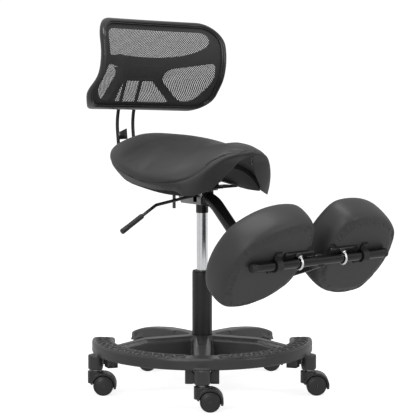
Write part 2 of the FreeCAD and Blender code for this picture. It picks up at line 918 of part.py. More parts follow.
def bent_path(corners, radii):
    """Straight runs joined by tangent arcs; one radius for each inner corner."""
    edges = []
    here = corners[0]
    for before, corner, after, radius in zip(corners, corners[1:], corners[2:], radii):
        back = (before - corner).normalize()
        on = (after - corner).normalize()
        half_turn = (math.pi - back.getAngle(on)) / 2
        trim = radius * math.tan(half_turn)
        start = corner + back * trim
        end = corner + on * trim
        inward = (back + on).normalize()
        middle = corner + inward * (radius / math.cos(half_turn) - radius)
        edges.append(Part.LineSegment(here, start).toShape())
        edges.append(arc(start, middle, end))
        here = end
    edges.append(Part.LineSegment(here, corners[-1]).toShape())
    return Part.Wire(edges)


def tube(path, radius, bore=0.0):
    """Round stock along a path of runs and arcs, with a bore where one is given."""
    start = path.Edges[0]
    point = start.valueAt(start.FirstParameter)
    along = start.tangentAt(start.FirstParameter)
    outside = Part.Wire(Part.makeCircle(radius, point, along))
    shape = path.makePipeShell([outside], True, False)
    if bore:
        inside = Part.Wire(Part.makeCircle(bore, point, along))
        shape = shape.cut(path.makePipeShell([inside], True, False))
    return shape


def ahead(x, forward, z):
    return V(x, -forward, z)


def knee_arm():
    """Tube that dips from the seat and rises to the knee bar, welded to a plate on the tray's front."""
    weld = size("tray_front") + size("seat_gap") + size("yoke_thick")
    start = ahead(0, weld - size("seat_gap"), size("arm_start_height"))
    first = math.radians(size("arm_start_slope"))
    second = math.radians(size("arm_slope"))
    rise = math.radians(size("arm_rise"))
    trim = size("arm_upper_bend") * math.tan((second - first) / 2)
    bend = start + ahead(0, trim * math.cos(first), -trim * math.sin(first))
    bar = ahead(0, size("bar_forward"), size("bar_height"))
    fall = (bar.z - bend.z) + math.tan(second) * (bend.y - bar.y)
    back = fall / (math.tan(second) + math.tan(rise))
    dip = ahead(0, size("bar_forward") - back, bar.z - back * math.tan(rise))
    upper_bend = size("arm_upper_bend") - size("seat_gap")
    path = bent_path([start, bend, dip, bar], [upper_bend, size("arm_lower_bend")])
    shape = tube(path, size("arm_tube_radius"))
    half = size("arm_tube_radius")
    low = size("tray_bottom")
    high = size("plate_bottom") - size("yoke_thick")
    front = Part.makeBox(2 * half, size("yoke_thick"), high - low, V(-half, -weld, low))
    shape = shape.fuse(front)
    reach = size("bar_half")
    saddle = size("bar_radius") + size("seat_gap")
    notch = Part.makeCylinder(saddle, 2 * reach, bar - V(reach, 0, 0), V(1, 0, 0))
    solid("knee_arm", shape.cut(notch).removeSplitter())


def knee_bar():
    x = "-bar_half"
    place = ("-bar_forward", "bar_height")
    outside = cylinder("knee_bar_outside", "bar_radius", "2 * bar_half", x, *place, V(1, 0, 0))
    inside = cylinder("knee_bar_inside", "bar_radius - bar_wall", "2 * bar_half", x, *place, V(1, 0, 0))
    keep(cut("knee_bar", outside, inside))
    caps = []
    for name, side in (("left", 1), ("right", -1)):
        cap = doc.addObject("PartDesign::Body", f"bar_cap_{name}")
        sketch = sketch_on(cap, f"bar_cap_{name}_profile", "XZ_Plane")
        polygon(sketch, [
            ("0", "-cap_length"),
            ("bar_radius - bar_wall - running_fit", "-cap_length"),
            ("bar_radius - bar_wall - running_fit", "seat_gap"),
            ("bar_radius", "seat_gap"),
            ("bar_radius - bar_wall / 2", "cap_length - bar_wall"),
            ("bar_radius - 2 * bar_wall", "cap_length"),
            ("0", "cap_length"),
        ])
        revolve(cap, sketch)
        spot = ahead(side * size("bar_half"), size("bar_forward"), size("bar_height"))
        cap.Placement = FreeCAD.Placement(spot, FreeCAD.Rotation(V(0, 0, 1), V(side, 0, 0)))
        caps.append(cap)
    group("knee_bar_caps", caps)


# Knee pads, drawn for the sitter's left and mirrored to the right

def both_sides(name, shape):
    solid("left_" + name, shape)
    solid("right_" + name, shape.mirror(V(), V(1, 0, 0)))


def pad_point(out, up, deep):
    """A point of the left pad: out from the middle, up along the pad, and deep behind the bar's axis."""
    tilt = math.radians(size("pad_tilt"))
    forward = size("bar_forward") + up * math.cos(tilt) - deep * math.sin(tilt)
    height = size("bar_height") + up * math.sin(tilt) + deep * math.cos(tilt)
    return ahead(out, forward, height)


def pad_outline(share, deep):
    """Four bowed sides between four soft corners, turned in the plane of the pad."""
    turn = math.radians(size("pad_turn"))
    reaches = [size("pad_corner_short"), size("pad_corner_long")] * 2
    corners = []
    for index, reach in enumerate(reaches):
        angle = turn + index * math.pi / 2
        corners.append((reach * math.cos(angle), reach * math.sin(angle)))
    edges = []
    for index, corner in enumerate(corners):
        after = corners[(index + 1) % 4]
        middle = ((corner[0] + after[0]) / 2, (corner[1] + after[1]) / 2)
        stretch = 1 + size("pad_bulge") / math.hypot(*middle)
        bowed = (middle[0] * stretch, middle[1] * stretch)
        spots = [
            pad_point(size("pad_middle_out") + u * share, size("pad_middle_up") + v * share, deep)
            for u, v in (corner, bowed, after)
        ]
        edges.append(arc(*spots))
    return Part.Wire(edges)


def pad_box(inner, outer, low, high, near, far):
    """A block squared to the pad, between two places each way."""
    plan = ((inner, low), (outer, low), (outer, high), (inner, high))
    corners = [pad_point(out, up, near) for out, up in plan]
    face = Part.Face(Part.makePolygon(corners + corners[:1]))
    return face.extrude(pad_point(0, 0, far) - pad_point(0, 0, near))


def knee_pads():
    gap = size("seat_gap")
    face = size("bar_radius")
    board = [pad_outline(size("board_share"), face + gap + deep) for deep in (0, size("board_thick"))]
    both_sides("knee_board", Part.makeLoft(board, True, True))
    low = face + size("board_thick") + 2 * gap
    layers = [(0.96, 0), (1.02, 0.12), (1.045, 0.4), (1.035, 0.72), (0.98, 0.88), (0.82, 0.97), (0.5, 1.0)]
    sections = [pad_outline(share, low + size("pad_thick") * depth) for share, depth in layers]
    both_sides("knee_cushion", Part.makeLoft(sections, True, False))
    reach = size("bar_half")
    bar = Part.makeCylinder(face + gap, 2 * reach, pad_point(-reach, 0, 0), V(1, 0, 0))
    knee_hooks(face, bar)
    knee_straps(face, bar)


def knee_hooks(face, bar):
    """Bright U-bolt round the bar, and the steel strip under its nut."""
    gap = size("seat_gap")
    wire = size("ubolt_wire")
    ring = size("bar_radius") + gap + wire
    place = size("ubolt_place")
    legs = [pad_point(place, up, face) for up in (ring, -ring)]
    shoulders = [pad_point(place, up, 0) for up in (ring, -ring)]
    path = Part.Wire([
        Part.LineSegment(legs[0], shoulders[0]).toShape(),
        arc(shoulders[0], pad_point(place, 0, -ring), shoulders[1]),
        Part.LineSegment(shoulders[1], legs[1]).toShape(),
    ])
    hook = tube(path, wire)
    deep = pad_point(0, 0, 1) - pad_point(0, 0, 0)
    strip_near = face - size("hanger_thick")
    for up, stand in ((ring, strip_near - gap), (-ring, face)):
        foot = pad_point(place, up, stand - size("nut_height"))
        hook = hook.fuse(Part.makeCylinder(size("nut_radius"), size("nut_height"), foot, deep))
    both_sides("knee_u_bolt", hook.cut(bar).removeSplitter())
    low = size("bar_radius") + 5 * gap
    high = low + size("hanger_width")
    strip = pad_box(size("hanger_inner"), size("hanger_outer"), low, high, strip_near, face)
    shank = Part.makeCylinder(wire + gap, 4 * ring, pad_point(place, ring, -ring), deep)
    both_sides("knee_hanger", strip.cut(shank))


def knee_straps(face, bar):
    """Black strap round the bar with a foot each way on the board."""
    half = size("strap_width") / 2
    inner = size("strap_place") - half
    outer = size("strap_place") + half
    reach = size("bar_radius") + size("strap_thick")
    foot = size("strap_foot")
    shape = Part.makeCylinder(reach, 2 * half, pad_point(inner, 0, 0), V(1, 0, 0))
    shape = shape.fuse(pad_box(inner, outer, -reach, reach, 0, face))
    shape = shape.fuse(pad_box(inner, outer, -foot, foot, face - size("strap_foot_thick"), face))
    beyond = pad_box(inner - reach, outer + reach, -2 * reach, 2 * reach, face, 2 * reach)
    both_sides("knee_strap", shape.cut(bar).cut(beyond).removeSplitter())


# Lever

def lever():
    forward = size("lever_forward")

    def at(out, z):
        return ahead(-out, forward, z)

    inner = at(-size("lever_inner"), size("lever_inner_height"))
    bend_height = size("lever_inner_height") - size("lever_drop")
    bend = at(size("lever_bend"), bend_height)
    end = at(size("grip_end"), bend_height - size("grip_drop"))
    along = (end - bend).normalize()
    long = size("grip_length")
    grip = end - along * long
    path = bent_path([inner, bend, end - along * (long / 2)], [size("lever_bend_radius")])
    half = size("lever_slot") - size("tray_wall") / 2
    share = (size("lever_inner") + size("tray_half")) / (size("lever_inner") + size("lever_bend"))
    pivot = inner + (bend - inner) * share
    pin = Part.makeCylinder(size("lever_pin"), 2 * half, pivot - V(0, half, 0), V(0, 1, 0))
    rod = tube(path, size("lever_radius")).fuse(pin)
    solid("lever_rod", rod.removeSplitter())
    sleeve = Part.makeCylinder(size("grip_radius"), long, grip, along)
    wide = size("lever_radius") + size("loose_fit")
    bore = Part.makeCylinder(wide, long / 2 + size("seat_gap"), grip, along)
    solid("lever_grip", sleeve.cut(bore))


# Back rods, clamp and brace

def rod_corners(x):
    """A back rod's route: level through the clamp, up behind the saddle, then forward to the back."""
    level = size("plate_bottom") + size("plate_thick") + size("clamp_height") / 2
    return [
        ahead(x, -size("back_rod_front"), level),
        ahead(x, -size("back_rod_heel"), level),
        ahead(x, -size("back_rod_bow"), size("back_rod_bow_height")),
        ahead(x, -size("back_rod_tip"), size("socket_high") - size("rod_tip_below")),
    ]


def rod_places():
    return [side * size("rod_spacing") / 2 for side in (-1, 1)]


def back_rods():
    bends = [size("back_rod_heel_bend"), size("back_rod_bow_bend")]
    rods = [tube(bent_path(rod_corners(x), bends), size("back_rod_radius")) for x in rod_places()]
    solid("back_rods", Part.makeCompound(rods))


def rod_bores():
    """Straight bores round the upper ends of the rods, a little longer and wider than the rods."""
    gap = size("seat_gap")
    bores = []
    for x in rod_places():
        bow, tip = rod_corners(x)[2:]
        along = (tip - bow).normalize()
        deep = tip.distanceToPoint(bow) * size("rod_bore_share") + gap
        bores.append(Part.makeCylinder(size("back_rod_radius") + gap, deep, tip + along * gap, along * -1))
    return Part.makeCompound(bores)


def back_clamp():
    """Block on the plate with a bore for each rod, and the bolt that closes it from below."""
    body = new_body("back_clamp")
    block = sketch_on(body, "clamp_block", "XY_Plane", "plate_bottom + plate_thick + seat_gap")
    rectangle(block, "-clamp_half", "clamp_front", "clamp_half", "clamp_back")
    pad(body, block, "clamp_height - 2 * seat_gap")
    bores = sketch_on(body, "clamp_bores", "XZ_Plane")
    for x in ("rod_spacing / 2", "-rod_spacing / 2"):
        circle(bores, x, "plate_bottom + plate_thick + clamp_height / 2", "back_rod_radius + running_fit")
    pocket(body, bores)
    keep(body)
    spot = "(clamp_front + clamp_back) / 2"
    foot = "clamp_bolt_bottom"
    tall = f"plate_bottom + plate_thick - {foot}"
    shank = cylinder("clamp_shank", "clamp_bolt_radius", tall, "0", spot, foot)
    nut = doc.addObject("Part::Prism", "clamp_nut")
    nut.Polygon = 6
    nut.setExpression("Circumradius", bind("2 * clamp_bolt_radius"))
    nut.setExpression("Height", bind("bolt_head + seat_gap"))
    nut.setExpression("Placement.Base.y", bind(spot))
    nut.setExpression("Placement.Base.z", bind("plate_bottom - bolt_head - 2 * seat_gap"))
    keep(fuse("back_clamp_bolt", [shank, nut]))


def back_brace():
    """Sloped steel tab in front of the rods, on the sitter's right."""
    body = new_body("back_brace")
    middle = (size("brace_low") + size("brace_high")) / 2
    level = size("plate_bottom") + size("plate_thick") + size("clamp_height") / 2
    climb = size("back_rod_bow_height") - level
    drift = size("back_rod_bow") - size("back_rod_heel")
    depth = size("back_rod_heel") + drift * (middle - level) / climb
    lean = math.degrees(math.atan2(drift, climb))
    tab = sketch_on(body, "brace_tab", "XZ_Plane")
    polygon(tab, [
        ("-brace_width", "(brace_low - brace_high) / 2"),
        ("0", "(brace_low - brace_high) / 2"),
        ("0", "(brace_high - brace_low) / 2"),
        ("-brace_width", "(brace_high - brace_low) / 2 - brace_drop"),
    ])
    pad(body, tab, "brace_thick")
    stand = size("back_rod_radius") + size("seat_gap")
    spot = V(0, depth - stand * math.cos(math.radians(lean)), middle)
    body.Placement = FreeCAD.Placement(spot, FreeCAD.Rotation(V(1, 0, 0), -lean))
    keep(body)


# Net back

def back_slab(body, front, thick):
    """Curved sheet: the side view's lumbar curve turned about an upright axis before the back."""
    profile = sketch_on(body, body.Name + "_curve", "YZ_Plane")
    margin = size("rim_width")
    heights = [size("back_high") + margin, size("back_waist_height"), size("back_low") - margin]
    depths = [size("back_top_depth"), size("back_waist_depth"), size("back_low_depth")]
    reach = size("back_axis") + front
    near = [V(reach + depth, height, 0) for depth, height in zip(depths, heights)]
    far = [V(reach + thick + depth, height, 0) for depth, height in zip(depths, heights)]
    profile.addGeometry(Part.Arc(*near), False)
    profile.addGeometry(Part.Arc(*far), False)
    profile.addGeometry(Part.LineSegment(near[0], far[0]), False)
    profile.addGeometry(Part.LineSegment(near[2], far[2]), False)
    revolve(body, profile, "back_sweep", both=True)


def back_outline(sketch, inset):
    """The back's front view: a rounded rectangle of eight pieces, drawn in by an inset."""
    half = size("back_half") - inset
    low = size("back_low") + inset
    high = size("back_high") - inset
    corner = size("back_corner") - inset
    bow = corner * math.sqrt(0.5)
    edges = []
    for sx, sz in ((1, 1), (-1, 1), (-1, -1), (1, -1)):
        x = sx * (half - corner)
        z = (high if sz > 0 else low) - sz * corner
        side = V(x + sx * corner, z, 0)
        top = V(x, z + sz * corner, 0)
        middle = V(x + sx * bow, z + sz * bow, 0)
        edges.append(Part.Arc(side, middle, top))
    sketch.addGeometry(edges, False)
    sketch.addGeometry(Part.LineSegment(V(half - corner, high, 0), V(corner - half, high, 0)), False)
    sketch.addGeometry(Part.LineSegment(V(-half, high - corner, 0), V(-half, low + corner, 0)), False)
    sketch.addGeometry(Part.LineSegment(V(corner - half, low, 0), V(half - corner, low, 0)), False)
    sketch.addGeometry(Part.LineSegment(V(half, low + corner, 0), V(half, high - corner, 0)), False)


def trim_outside(body, inset):
    frame = sketch_on(body, body.Name + "_trim", "XZ_Plane")
    margin = "back_half"
    rectangle(frame, f"-3 * {margin}", f"back_low - {margin}", f"3 * {margin}", f"back_high + {margin}")
    back_outline(frame, inset)
    pocket(body, frame)


def back_place():
    """The back hangs on its rods rolled a little, with the sitter's right side higher."""
    centre = V(0, 0, size("back_roll_height"))
    roll = FreeCAD.Placement(V(), FreeCAD.Rotation(V(0, 1, 0), size("back_roll")), centre)
    return roll.multiply(FreeCAD.Placement(V(0, -size("back_axis"), 0), FreeCAD.Rotation()))


def place_back(body):
    body.Placement = back_place()
    return keep(body)


def net_back():
    rim = new_body("back_rim")
    back_slab(rim, -size("rim_front"), size("rim_front") + size("rim_back"))
    trim_outside(rim, 0)
    inner = sketch_on(rim, "rim_inner", "XZ_Plane")
    back_outline(inner, size("rim_width"))
    pocket(rim, inner)
    place_back(rim)
    net = new_body("back_mesh")
    back_slab(net, -size("net_thick") / 2, size("net_thick"))
    trim_outside(net, size("rim_width") + size("seat_gap"))
    place_back(net)
    frame = new_body("frame_moulding")
    back_slab(frame, size("frame_front"), size("frame_thick"))
    trim_outside(frame, size("rim_width") + size("seat_gap"))
    frame_windows(frame)
    rod_socket(frame)
    frame.Placement = back_place()
    bores = doc.addObject("Part::Feature", "rod_bores")
    bores.Shape = rod_bores()
    keep(cut("back_frame", frame, bores))


def frame_windows(body):
    """Upper window, two side windows and the middle window between the two legs."""
    edge = "(rim_width + frame_border)"
    windows = sketch_on(body, "windows", "XZ_Plane")
    top = f"back_high - {edge}"
    low = f"back_low + {edge}"
    out = f"back_half - {edge}"
    polygon(windows, [
        (f"-({out}) + band_sweep", top),
        (f"{out} - band_sweep", top),
        (out, f"{top} - band_sweep"),
        (out, "band_high + 2 * band_sweep"),
        ("back_half / 2", "band_high + band_sweep / 3"),
        ("0", "band_high"),
        ("-back_half / 2", "band_high + band_sweep / 3"),
        (f"-({out})", "band_high + 2 * band_sweep"),
        (f"-({out})", f"{top} - band_sweep"),
    ])
    polygon(windows, [
        ("-leg_top_half", "lower_window_top"),
        ("leg_top_half", "lower_window_top"),
        ("leg_low_half", low),
        ("-leg_low_half", low),
    ])
    pocket(body, windows)
    side = sketch_on(body, "side_window", "XZ_Plane")
    polygon(side, [
        ("leg_top_half + leg_width", "lower_window_top"),
        ("leg_top_half + leg_width + band_sweep", "band_low"),
        (out, "band_low + band_sweep"),
        (out, f"{low} + 2 * leg_width"),
        (f"{out} - leg_width", f"{low} + band_sweep"),
        (f"{out} - 2 * leg_width", low),
        ("leg_low_half + leg_width", low),
    ])
    opening = pocket(body, side)
    mirrored(body, opening, "YZ_Plane")


def rod_socket(body):
    """Moulded block behind the band that the two rods plug into."""
    block = sketch_on(body, "socket_block", "YZ_Plane")
    axis = "back_axis"
    polygon(block, [
        (f"{axis} + back_waist_depth + frame_thick + frame_front", "socket_high"),
        (f"{axis} + back_rod_tip", "socket_high"),
        (f"{axis} + back_rod_tip + socket_depth", "socket_high - socket_depth"),
        (f"{axis} + back_rod_tip + 2 * socket_depth", "socket_low"),
        (f"{axis} + back_rod_tip", "socket_low"),
        (f"{axis} + back_waist_depth + 2 * socket_depth", "lower_window_top"),
    ])
    pad(body, block, "2 * socket_half", both=True)


five_arm_base()
casters()
gas_lift()
taper_socket()
lever_housing()
seat_plate()
seat_bolts()
saddle_cushion()
seat_pan()
knee_arm()
knee_bar()
knee_pads()
lever()
back_rods()
back_clamp()
back_brace()
net_back()

doc.recompute()
faults = [item.Label for item in doc.Objects if "Invalid" in item.State or "Error" in item.State]
faults += [item.Label for item in parts if item.Shape.isNull() or not item.Shape.isValid()]
if faults:
    raise RuntimeError("failed: " + ", ".join(faults))
os.makedirs("parts", exist_ok=True)
for item in parts:
    item.Shape.exportStep(f"parts/{item.Label}.step")
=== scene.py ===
"""Saddle chair with knee pads: the visible pieces, their materials, the light and the camera."""

import math

import bmesh
import bpy
import numpy as np
from mathutils import Matrix, Vector, geometry
from mathutils.bvhtree import BVHTree


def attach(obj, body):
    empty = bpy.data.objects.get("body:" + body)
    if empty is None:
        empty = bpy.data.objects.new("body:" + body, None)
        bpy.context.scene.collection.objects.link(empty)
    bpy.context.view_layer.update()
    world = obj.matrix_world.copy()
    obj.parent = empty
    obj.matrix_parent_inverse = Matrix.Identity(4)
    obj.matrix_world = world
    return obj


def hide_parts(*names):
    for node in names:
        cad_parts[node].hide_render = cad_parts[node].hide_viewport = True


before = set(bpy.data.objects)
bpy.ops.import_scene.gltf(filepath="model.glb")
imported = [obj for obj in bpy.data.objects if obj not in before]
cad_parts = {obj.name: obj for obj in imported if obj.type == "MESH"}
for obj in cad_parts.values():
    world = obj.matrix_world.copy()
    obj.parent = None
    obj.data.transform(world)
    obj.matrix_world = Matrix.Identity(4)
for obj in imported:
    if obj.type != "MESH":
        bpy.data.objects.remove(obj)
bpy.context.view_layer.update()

# Shapes below are worked out in millimetres, and become metres when their mesh is made.
MM = 0.001
TURN = 2 * math.pi


# Camera, light and floor

CAMERA_AZIMUTH = 40.0
CAMERA_DISTANCE = 4.5823
CAMERA_HEIGHT = 0.9545
CAMERA_PITCH = 6.211
CAMERA_PAN = 0.183
CAMERA_LENS = 159.54
SENSOR = 36.0


def placed(name, data):
    thing = bpy.data.objects.new(name, data)
    bpy.context.scene.collection.objects.link(thing)
    return thing


def add_camera():
    data = bpy.data.cameras.new("camera")
    data.sensor_width = SENSOR
    data.lens = CAMERA_LENS
    camera = placed("camera", data)
    side = math.radians(CAMERA_AZIMUTH)
    reach = -CAMERA_DISTANCE
    camera.location = (reach * math.sin(side), reach * math.cos(side), CAMERA_HEIGHT)
    heading = -math.radians(CAMERA_AZIMUTH + CAMERA_PAN)
    camera.rotation_euler = (math.radians(90 - CAMERA_PITCH), 0, heading)
    bpy.context.scene.camera = camera


def softbox(name, place, target, width, height, watts):
    data = bpy.data.lights.new(name, "AREA")
    data.shape = "RECTANGLE"
    data.size = width
    data.size_y = height
    data.energy = watts
    light = placed(name, data)
    light.location = place
    light.rotation_euler = (Vector(target) - Vector(place)).to_track_quat("-Z", "Y").to_euler()


def stage_piece(name, material, *unseen):
    """The form just added, with its material, kept from the named kinds of ray."""
    thing = bpy.context.object
    thing.name = name
    thing.data.materials.append(material)
    for rays in unseen:
        setattr(thing, "visible_" + rays, False)
    return thing


def flag(name, place, width, height):
    """A dark panel beside the set that only mirrors show, so that bright metal has dark bands."""
    bpy.ops.mesh.primitive_plane_add(size=1)
    panel = stage_piece(name, FLAG, "camera", "diffuse", "shadow")
    panel.scale = (width, height, 1)
    panel.location = place
    panel.rotation_euler = (Vector((0, 0, place[2])) - Vector(place)).to_track_quat("Z", "Y").to_euler()


def add_studio():
    scene = bpy.context.scene
    scene.view_settings.view_transform = "Standard"
    world = bpy.data.worlds.new("studio")
    world.use_nodes = True
    backdrop = world.node_tree.nodes["Background"]
    backdrop.inputs["Color"].default_value = (1, 1, 1, 1)
    backdrop.inputs["Strength"].default_value = 0.6
    scene.world = world
    softbox("overhead", (-0.5, -0.3, 3.2), (0, 0, 0.5), 2.2, 1.2, 41)
    softbox("key", (-3.2, -1.6, 2.0), (0, -0.1, 0.5), 0.5, 2.2, 30)
    softbox("fill", (1.0, -3.6, 1.4), (0, -0.2, 0.4), 0.4, 2.2, 17)
    bpy.ops.mesh.primitive_plane_add(size=27)
    stage_piece("studio_floor", FLOOR, "diffuse", "glossy")
    bpy.ops.mesh.primitive_uv_sphere_add(radius=14, segments=64, ring_count=32)
    stage_piece("studio_dome", DOME, "diffuse", "glossy", "shadow")
    flag("flag_left", (-3.6, 0.9, 0.6), 0.5, 2.4)
    flag("flag_right", (2.4, -3.0, 0.6), 0.35, 2.4)


# Materials

# Each grain's texture node, the output that gives its height, its share of the size, and settings.
GRAINS = {
    "cells": ("ShaderNodeTexVoronoi", "Distance", 1.0, {}),
    "threads": ("ShaderNodeTexWave", "Fac", 0.5, {"Distortion": 1.5, "Detail": 2.0}),
    "noise": ("ShaderNodeTexNoise", "Fac", 1.0, {"Detail": 3.0}),
}
MIX_SHARE = 0
MIX_FIRST = 6
MIX_SECOND = 7
MIX_RESULT = 2
WORN_COLOR = (0.16, 0.16, 0.165, 1)


def surface(name, color, roughness, metallic=0.0, grain=None, patch=None, spread=0.05, wear=0.0):
    """A shader with grain as (texture, size in mm, depth in mm) and patch as (size in mm, change).

    The patches change the colour by a share and the roughness by the spread, and wear lightens
    the sharpest edges.
    """
    material = bpy.data.materials.new(name)
    material.use_nodes = True
    shader = material.node_tree.nodes["Principled BSDF"]
    shader.inputs["Base Color"].default_value = (*color, 1)
    shader.inputs["Roughness"].default_value = roughness
    shader.inputs["Metallic"].default_value = metallic
    place = add_node(material, "ShaderNodeTexCoord").outputs["Object"]
    if patch:
        add_patches(material, shader, place, color, roughness, patch, spread, wear)
    if grain:
        add_grain(material, shader, place, grain)
    return material


def add_node(material, kind, **values):
    node = material.node_tree.nodes.new(kind)
    for name, value in values.items():
        node.inputs[name].default_value = value
    return node


def link(material, source, target):
    material.node_tree.links.new(source, target)


def ranged(material, source, *limits):
    """A value carried from one range over to another."""
    node = add_node(material, "ShaderNodeMapRange")
    for name, value in zip(("From Min", "From Max", "To Min", "To Max"), limits):
        node.inputs[name].default_value = value
    link(material, source, node.inputs["Value"])
    return node.outputs["Result"]


def add_patches(material, shader, place, color, roughness, patch, spread, wear):
    size, change = patch
    noise = add_node(material, "ShaderNodeTexNoise", Scale=1 / (size * MM), Detail=4.0, Roughness=0.6)
    link(material, place, noise.inputs["Vector"])
    shades = add_node(material, "ShaderNodeValToRGB")
    for stop, share, where in zip(shades.color_ramp.elements, (1 - change, 1 + change), (0.35, 0.65)):
        stop.position = where
        stop.color = (*[min(1.0, c * share) for c in color], 1)
    link(material, noise.outputs["Fac"], shades.inputs["Fac"])
    tint = shades.outputs["Color"]
    if wear:
        tint = add_wear(material, tint, wear)
    link(material, tint, shader.inputs["Base Color"])
    smooth = max(0.02, roughness - spread)
    gloss = ranged(material, noise.outputs["Fac"], 0.3, 0.7, smooth, roughness + spread)
    link(material, gloss, shader.inputs["Roughness"])


def add_wear(material, tint, wear):
    shape = add_node(material, "ShaderNodeNewGeometry")
    mix = add_node(material, "ShaderNodeMix")
    mix.data_type = "RGBA"
    mix.inputs[MIX_SECOND].default_value = WORN_COLOR
    edges = ranged(material, shape.outputs["Pointiness"], 0.52, 0.62, 0.0, wear)
    link(material, edges, mix.inputs[MIX_SHARE])
    link(material, tint, mix.inputs[MIX_FIRST])
    return mix.outputs[MIX_RESULT]


def add_grain(material, shader, place, grain):
    texture, size, depth = grain
    kind, height, share, values = GRAINS[texture]
    source = add_node(material, kind, Scale=share / (size * MM), **values)
    link(material, place, source.inputs["Vector"])
    bump = add_node(material, "ShaderNodeBump", Strength=0.6, Distance=depth * MM)
    link(material, source.outputs[height], bump.inputs["Height"])
    link(material, bump.outputs["Normal"], shader.inputs["Normal"])


def glowing(name, color, strength):
    material = surface(name, color, 0.9)
    shader = material.node_tree.nodes["Principled BSDF"]
    shader.inputs["Specular IOR Level"].default_value = 0.0
    shader.inputs["Emission Color"].default_value = (1, 1, 1, 1)
    shader.inputs["Emission Strength"].default_value = strength
    return material


FLOOR = glowing("studio_white", (0.45, 0.45, 0.45), 0.82)
DOME = glowing("studio_backdrop", (0, 0, 0), 1.05)
FLAG = glowing("studio_flag", (0, 0, 0), 0.36)
VINYL = surface("vinyl", (0.033, 0.0333, 0.0337), 0.5, grain=("cells", 1.1, 0.12), patch=(60, 0.08))
LINING = surface("lining", (0.05, 0.05, 0.05), 0.85, grain=("noise", 0.8, 0.25), patch=(20, 0.15))
THREAD = surface("thread", (0.012, 0.012, 0.012), 0.7, grain=("threads", 0.7, 0.2))
BASE_PLASTIC = surface(
    "base_plastic", (0.033, 0.0332, 0.0335), 0.33, grain=("noise", 0.9, 0.025), patch=(45, 0.06), wear=0.12
)
CASTER_PLASTIC = surface(
    "caster_plastic", (0.016, 0.016, 0.0165), 0.36, grain=("noise", 1.2, 0.03), patch=(20, 0.1), wear=0.25
)
BLACK_STEEL = surface(
    "black_steel", (0.007, 0.007, 0.0073), 0.15, grain=("noise", 1.6, 0.02), patch=(30, 0.15), wear=0.12
)
COLUMN_BLACK = surface(
    "column_black", (0.009, 0.009, 0.0093), 0.33, grain=("noise", 1.4, 0.02), patch=(40, 0.12)
)
CHROME = surface(
    "chrome", (0.93, 0.94, 0.95), 0.15, 1.0, grain=("noise", 8, 0.004), patch=(30, 0.04), spread=0.03
)
STEEL = surface(
    "ground_steel", (0.5, 0.5, 0.51), 0.32, 1.0, grain=("threads", 0.5, 0.01), patch=(12, 0.08)
)
ZINC = surface(
    "zinc", (0.3, 0.305, 0.31), 0.34, 1.0, grain=("noise", 1.5, 0.03), patch=(6, 0.14), spread=0.1
)
SOFT_BLACK = surface(
    "soft_black", (0.014, 0.014, 0.014), 0.55, grain=("noise", 0.7, 0.05), patch=(15, 0.15)
)
RUBBER = surface("rubber", (0.012, 0.012, 0.012), 0.8, grain=("noise", 0.5, 0.08), patch=(10, 0.2))
RIM_PLASTIC = surface(
    "rim_plastic", (0.021, 0.021, 0.0215), 0.21, grain=("noise", 1.0, 0.03), patch=(35, 0.1), wear=0.1
)
FRAME_PLASTIC = surface(
    "frame_plastic", (0.016, 0.016, 0.0165), 0.5, grain=("noise", 0.8, 0.05), patch=(35, 0.1)
)
NET = surface("net_yarn", (0.03, 0.03, 0.03), 0.75, grain=("threads", 0.35, 0.08), patch=(4, 0.2))
BOARD = surface("pan_board", (0.03, 0.029, 0.028), 0.8, grain=("noise", 2.0, 0.15), patch=(12, 0.25))


# Meshes

SHARP = 35
RELAX_PULL = 0.5
RELAX_PUSH = -0.52


def make_mesh(name, lump, sharp=SHARP):
    points, faces = lump
    mesh = bpy.data.meshes.new(name)
    mesh.from_pydata([Vector(point) * MM for point in points], [], faces)
    shade(mesh, sharp)
    return mesh


def shade(mesh, sharp):
    work = bmesh.new()
    work.from_mesh(mesh)
    bmesh.ops.recalc_face_normals(work, faces=work.faces[:])
    work.to_mesh(mesh)
    work.free()
    mesh.shade_smooth()
    mesh.set_sharp_from_angle(angle=math.radians(sharp))


def piece(name, mesh, material, body, slot, *stands_for):
    thing = placed(name, mesh)
    if not mesh.materials:
        mesh.materials.append(material)
    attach(thing, body)
    if stands_for:
        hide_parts(*stands_for)
    return thing


def built(name, lump, material, body, slot, *stands_for, sharp=SHARP):
    """A piece made from points and faces."""
    return piece(name, make_mesh(name, lump, sharp), material, body, slot, *stands_for)


def paint(node, material):
    """Gives a node that is shown as it is drawn its material."""
    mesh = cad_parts[node].data
    mesh.materials.clear()
    mesh.materials.append(material)


def merged(*lumps):
    points = []
    faces = []
    for more_points, more_faces in lumps:
        first = len(points)
        points += list(more_points)
        faces += [tuple(first + index for index in face) for face in more_faces]
    return points, faces


def mirrored(lump):
    points, faces = lump
    return [Vector((-p[0], p[1], p[2])) for p in points], [tuple(reversed(face)) for face in faces]


def bridge(one, two):
    """Faces between two closed rows of points; a row of one point is a pole."""
    count = max(len(one), len(two))
    faces = []
    for i in range(count):
        j = (i + 1) % count
        if len(one) == 1:
            faces.append((one[0], two[j], two[i]))
        elif len(two) == 1:
            faces.append((one[i], one[j], two[0]))
        else:
            faces.append((one[i], one[j], two[j], two[i]))
    return faces


def stacked(rings, closed=False, capped=False):
    """A skin over rings of points, one after another; a ring of one point is a pole."""
    points = []
    rows = []
    for ring in rings:
        rows.append(range(len(points), len(points) + len(ring)))
        points += ring
    faces = []
    for one, two in zip(rows, rows[1:]):
        faces += bridge(one, two)
    if closed:
        faces += bridge(rows[-1], rows[0])
    if capped:
        faces += [tuple(rows[0]), tuple(rows[-1])]
    return points, faces


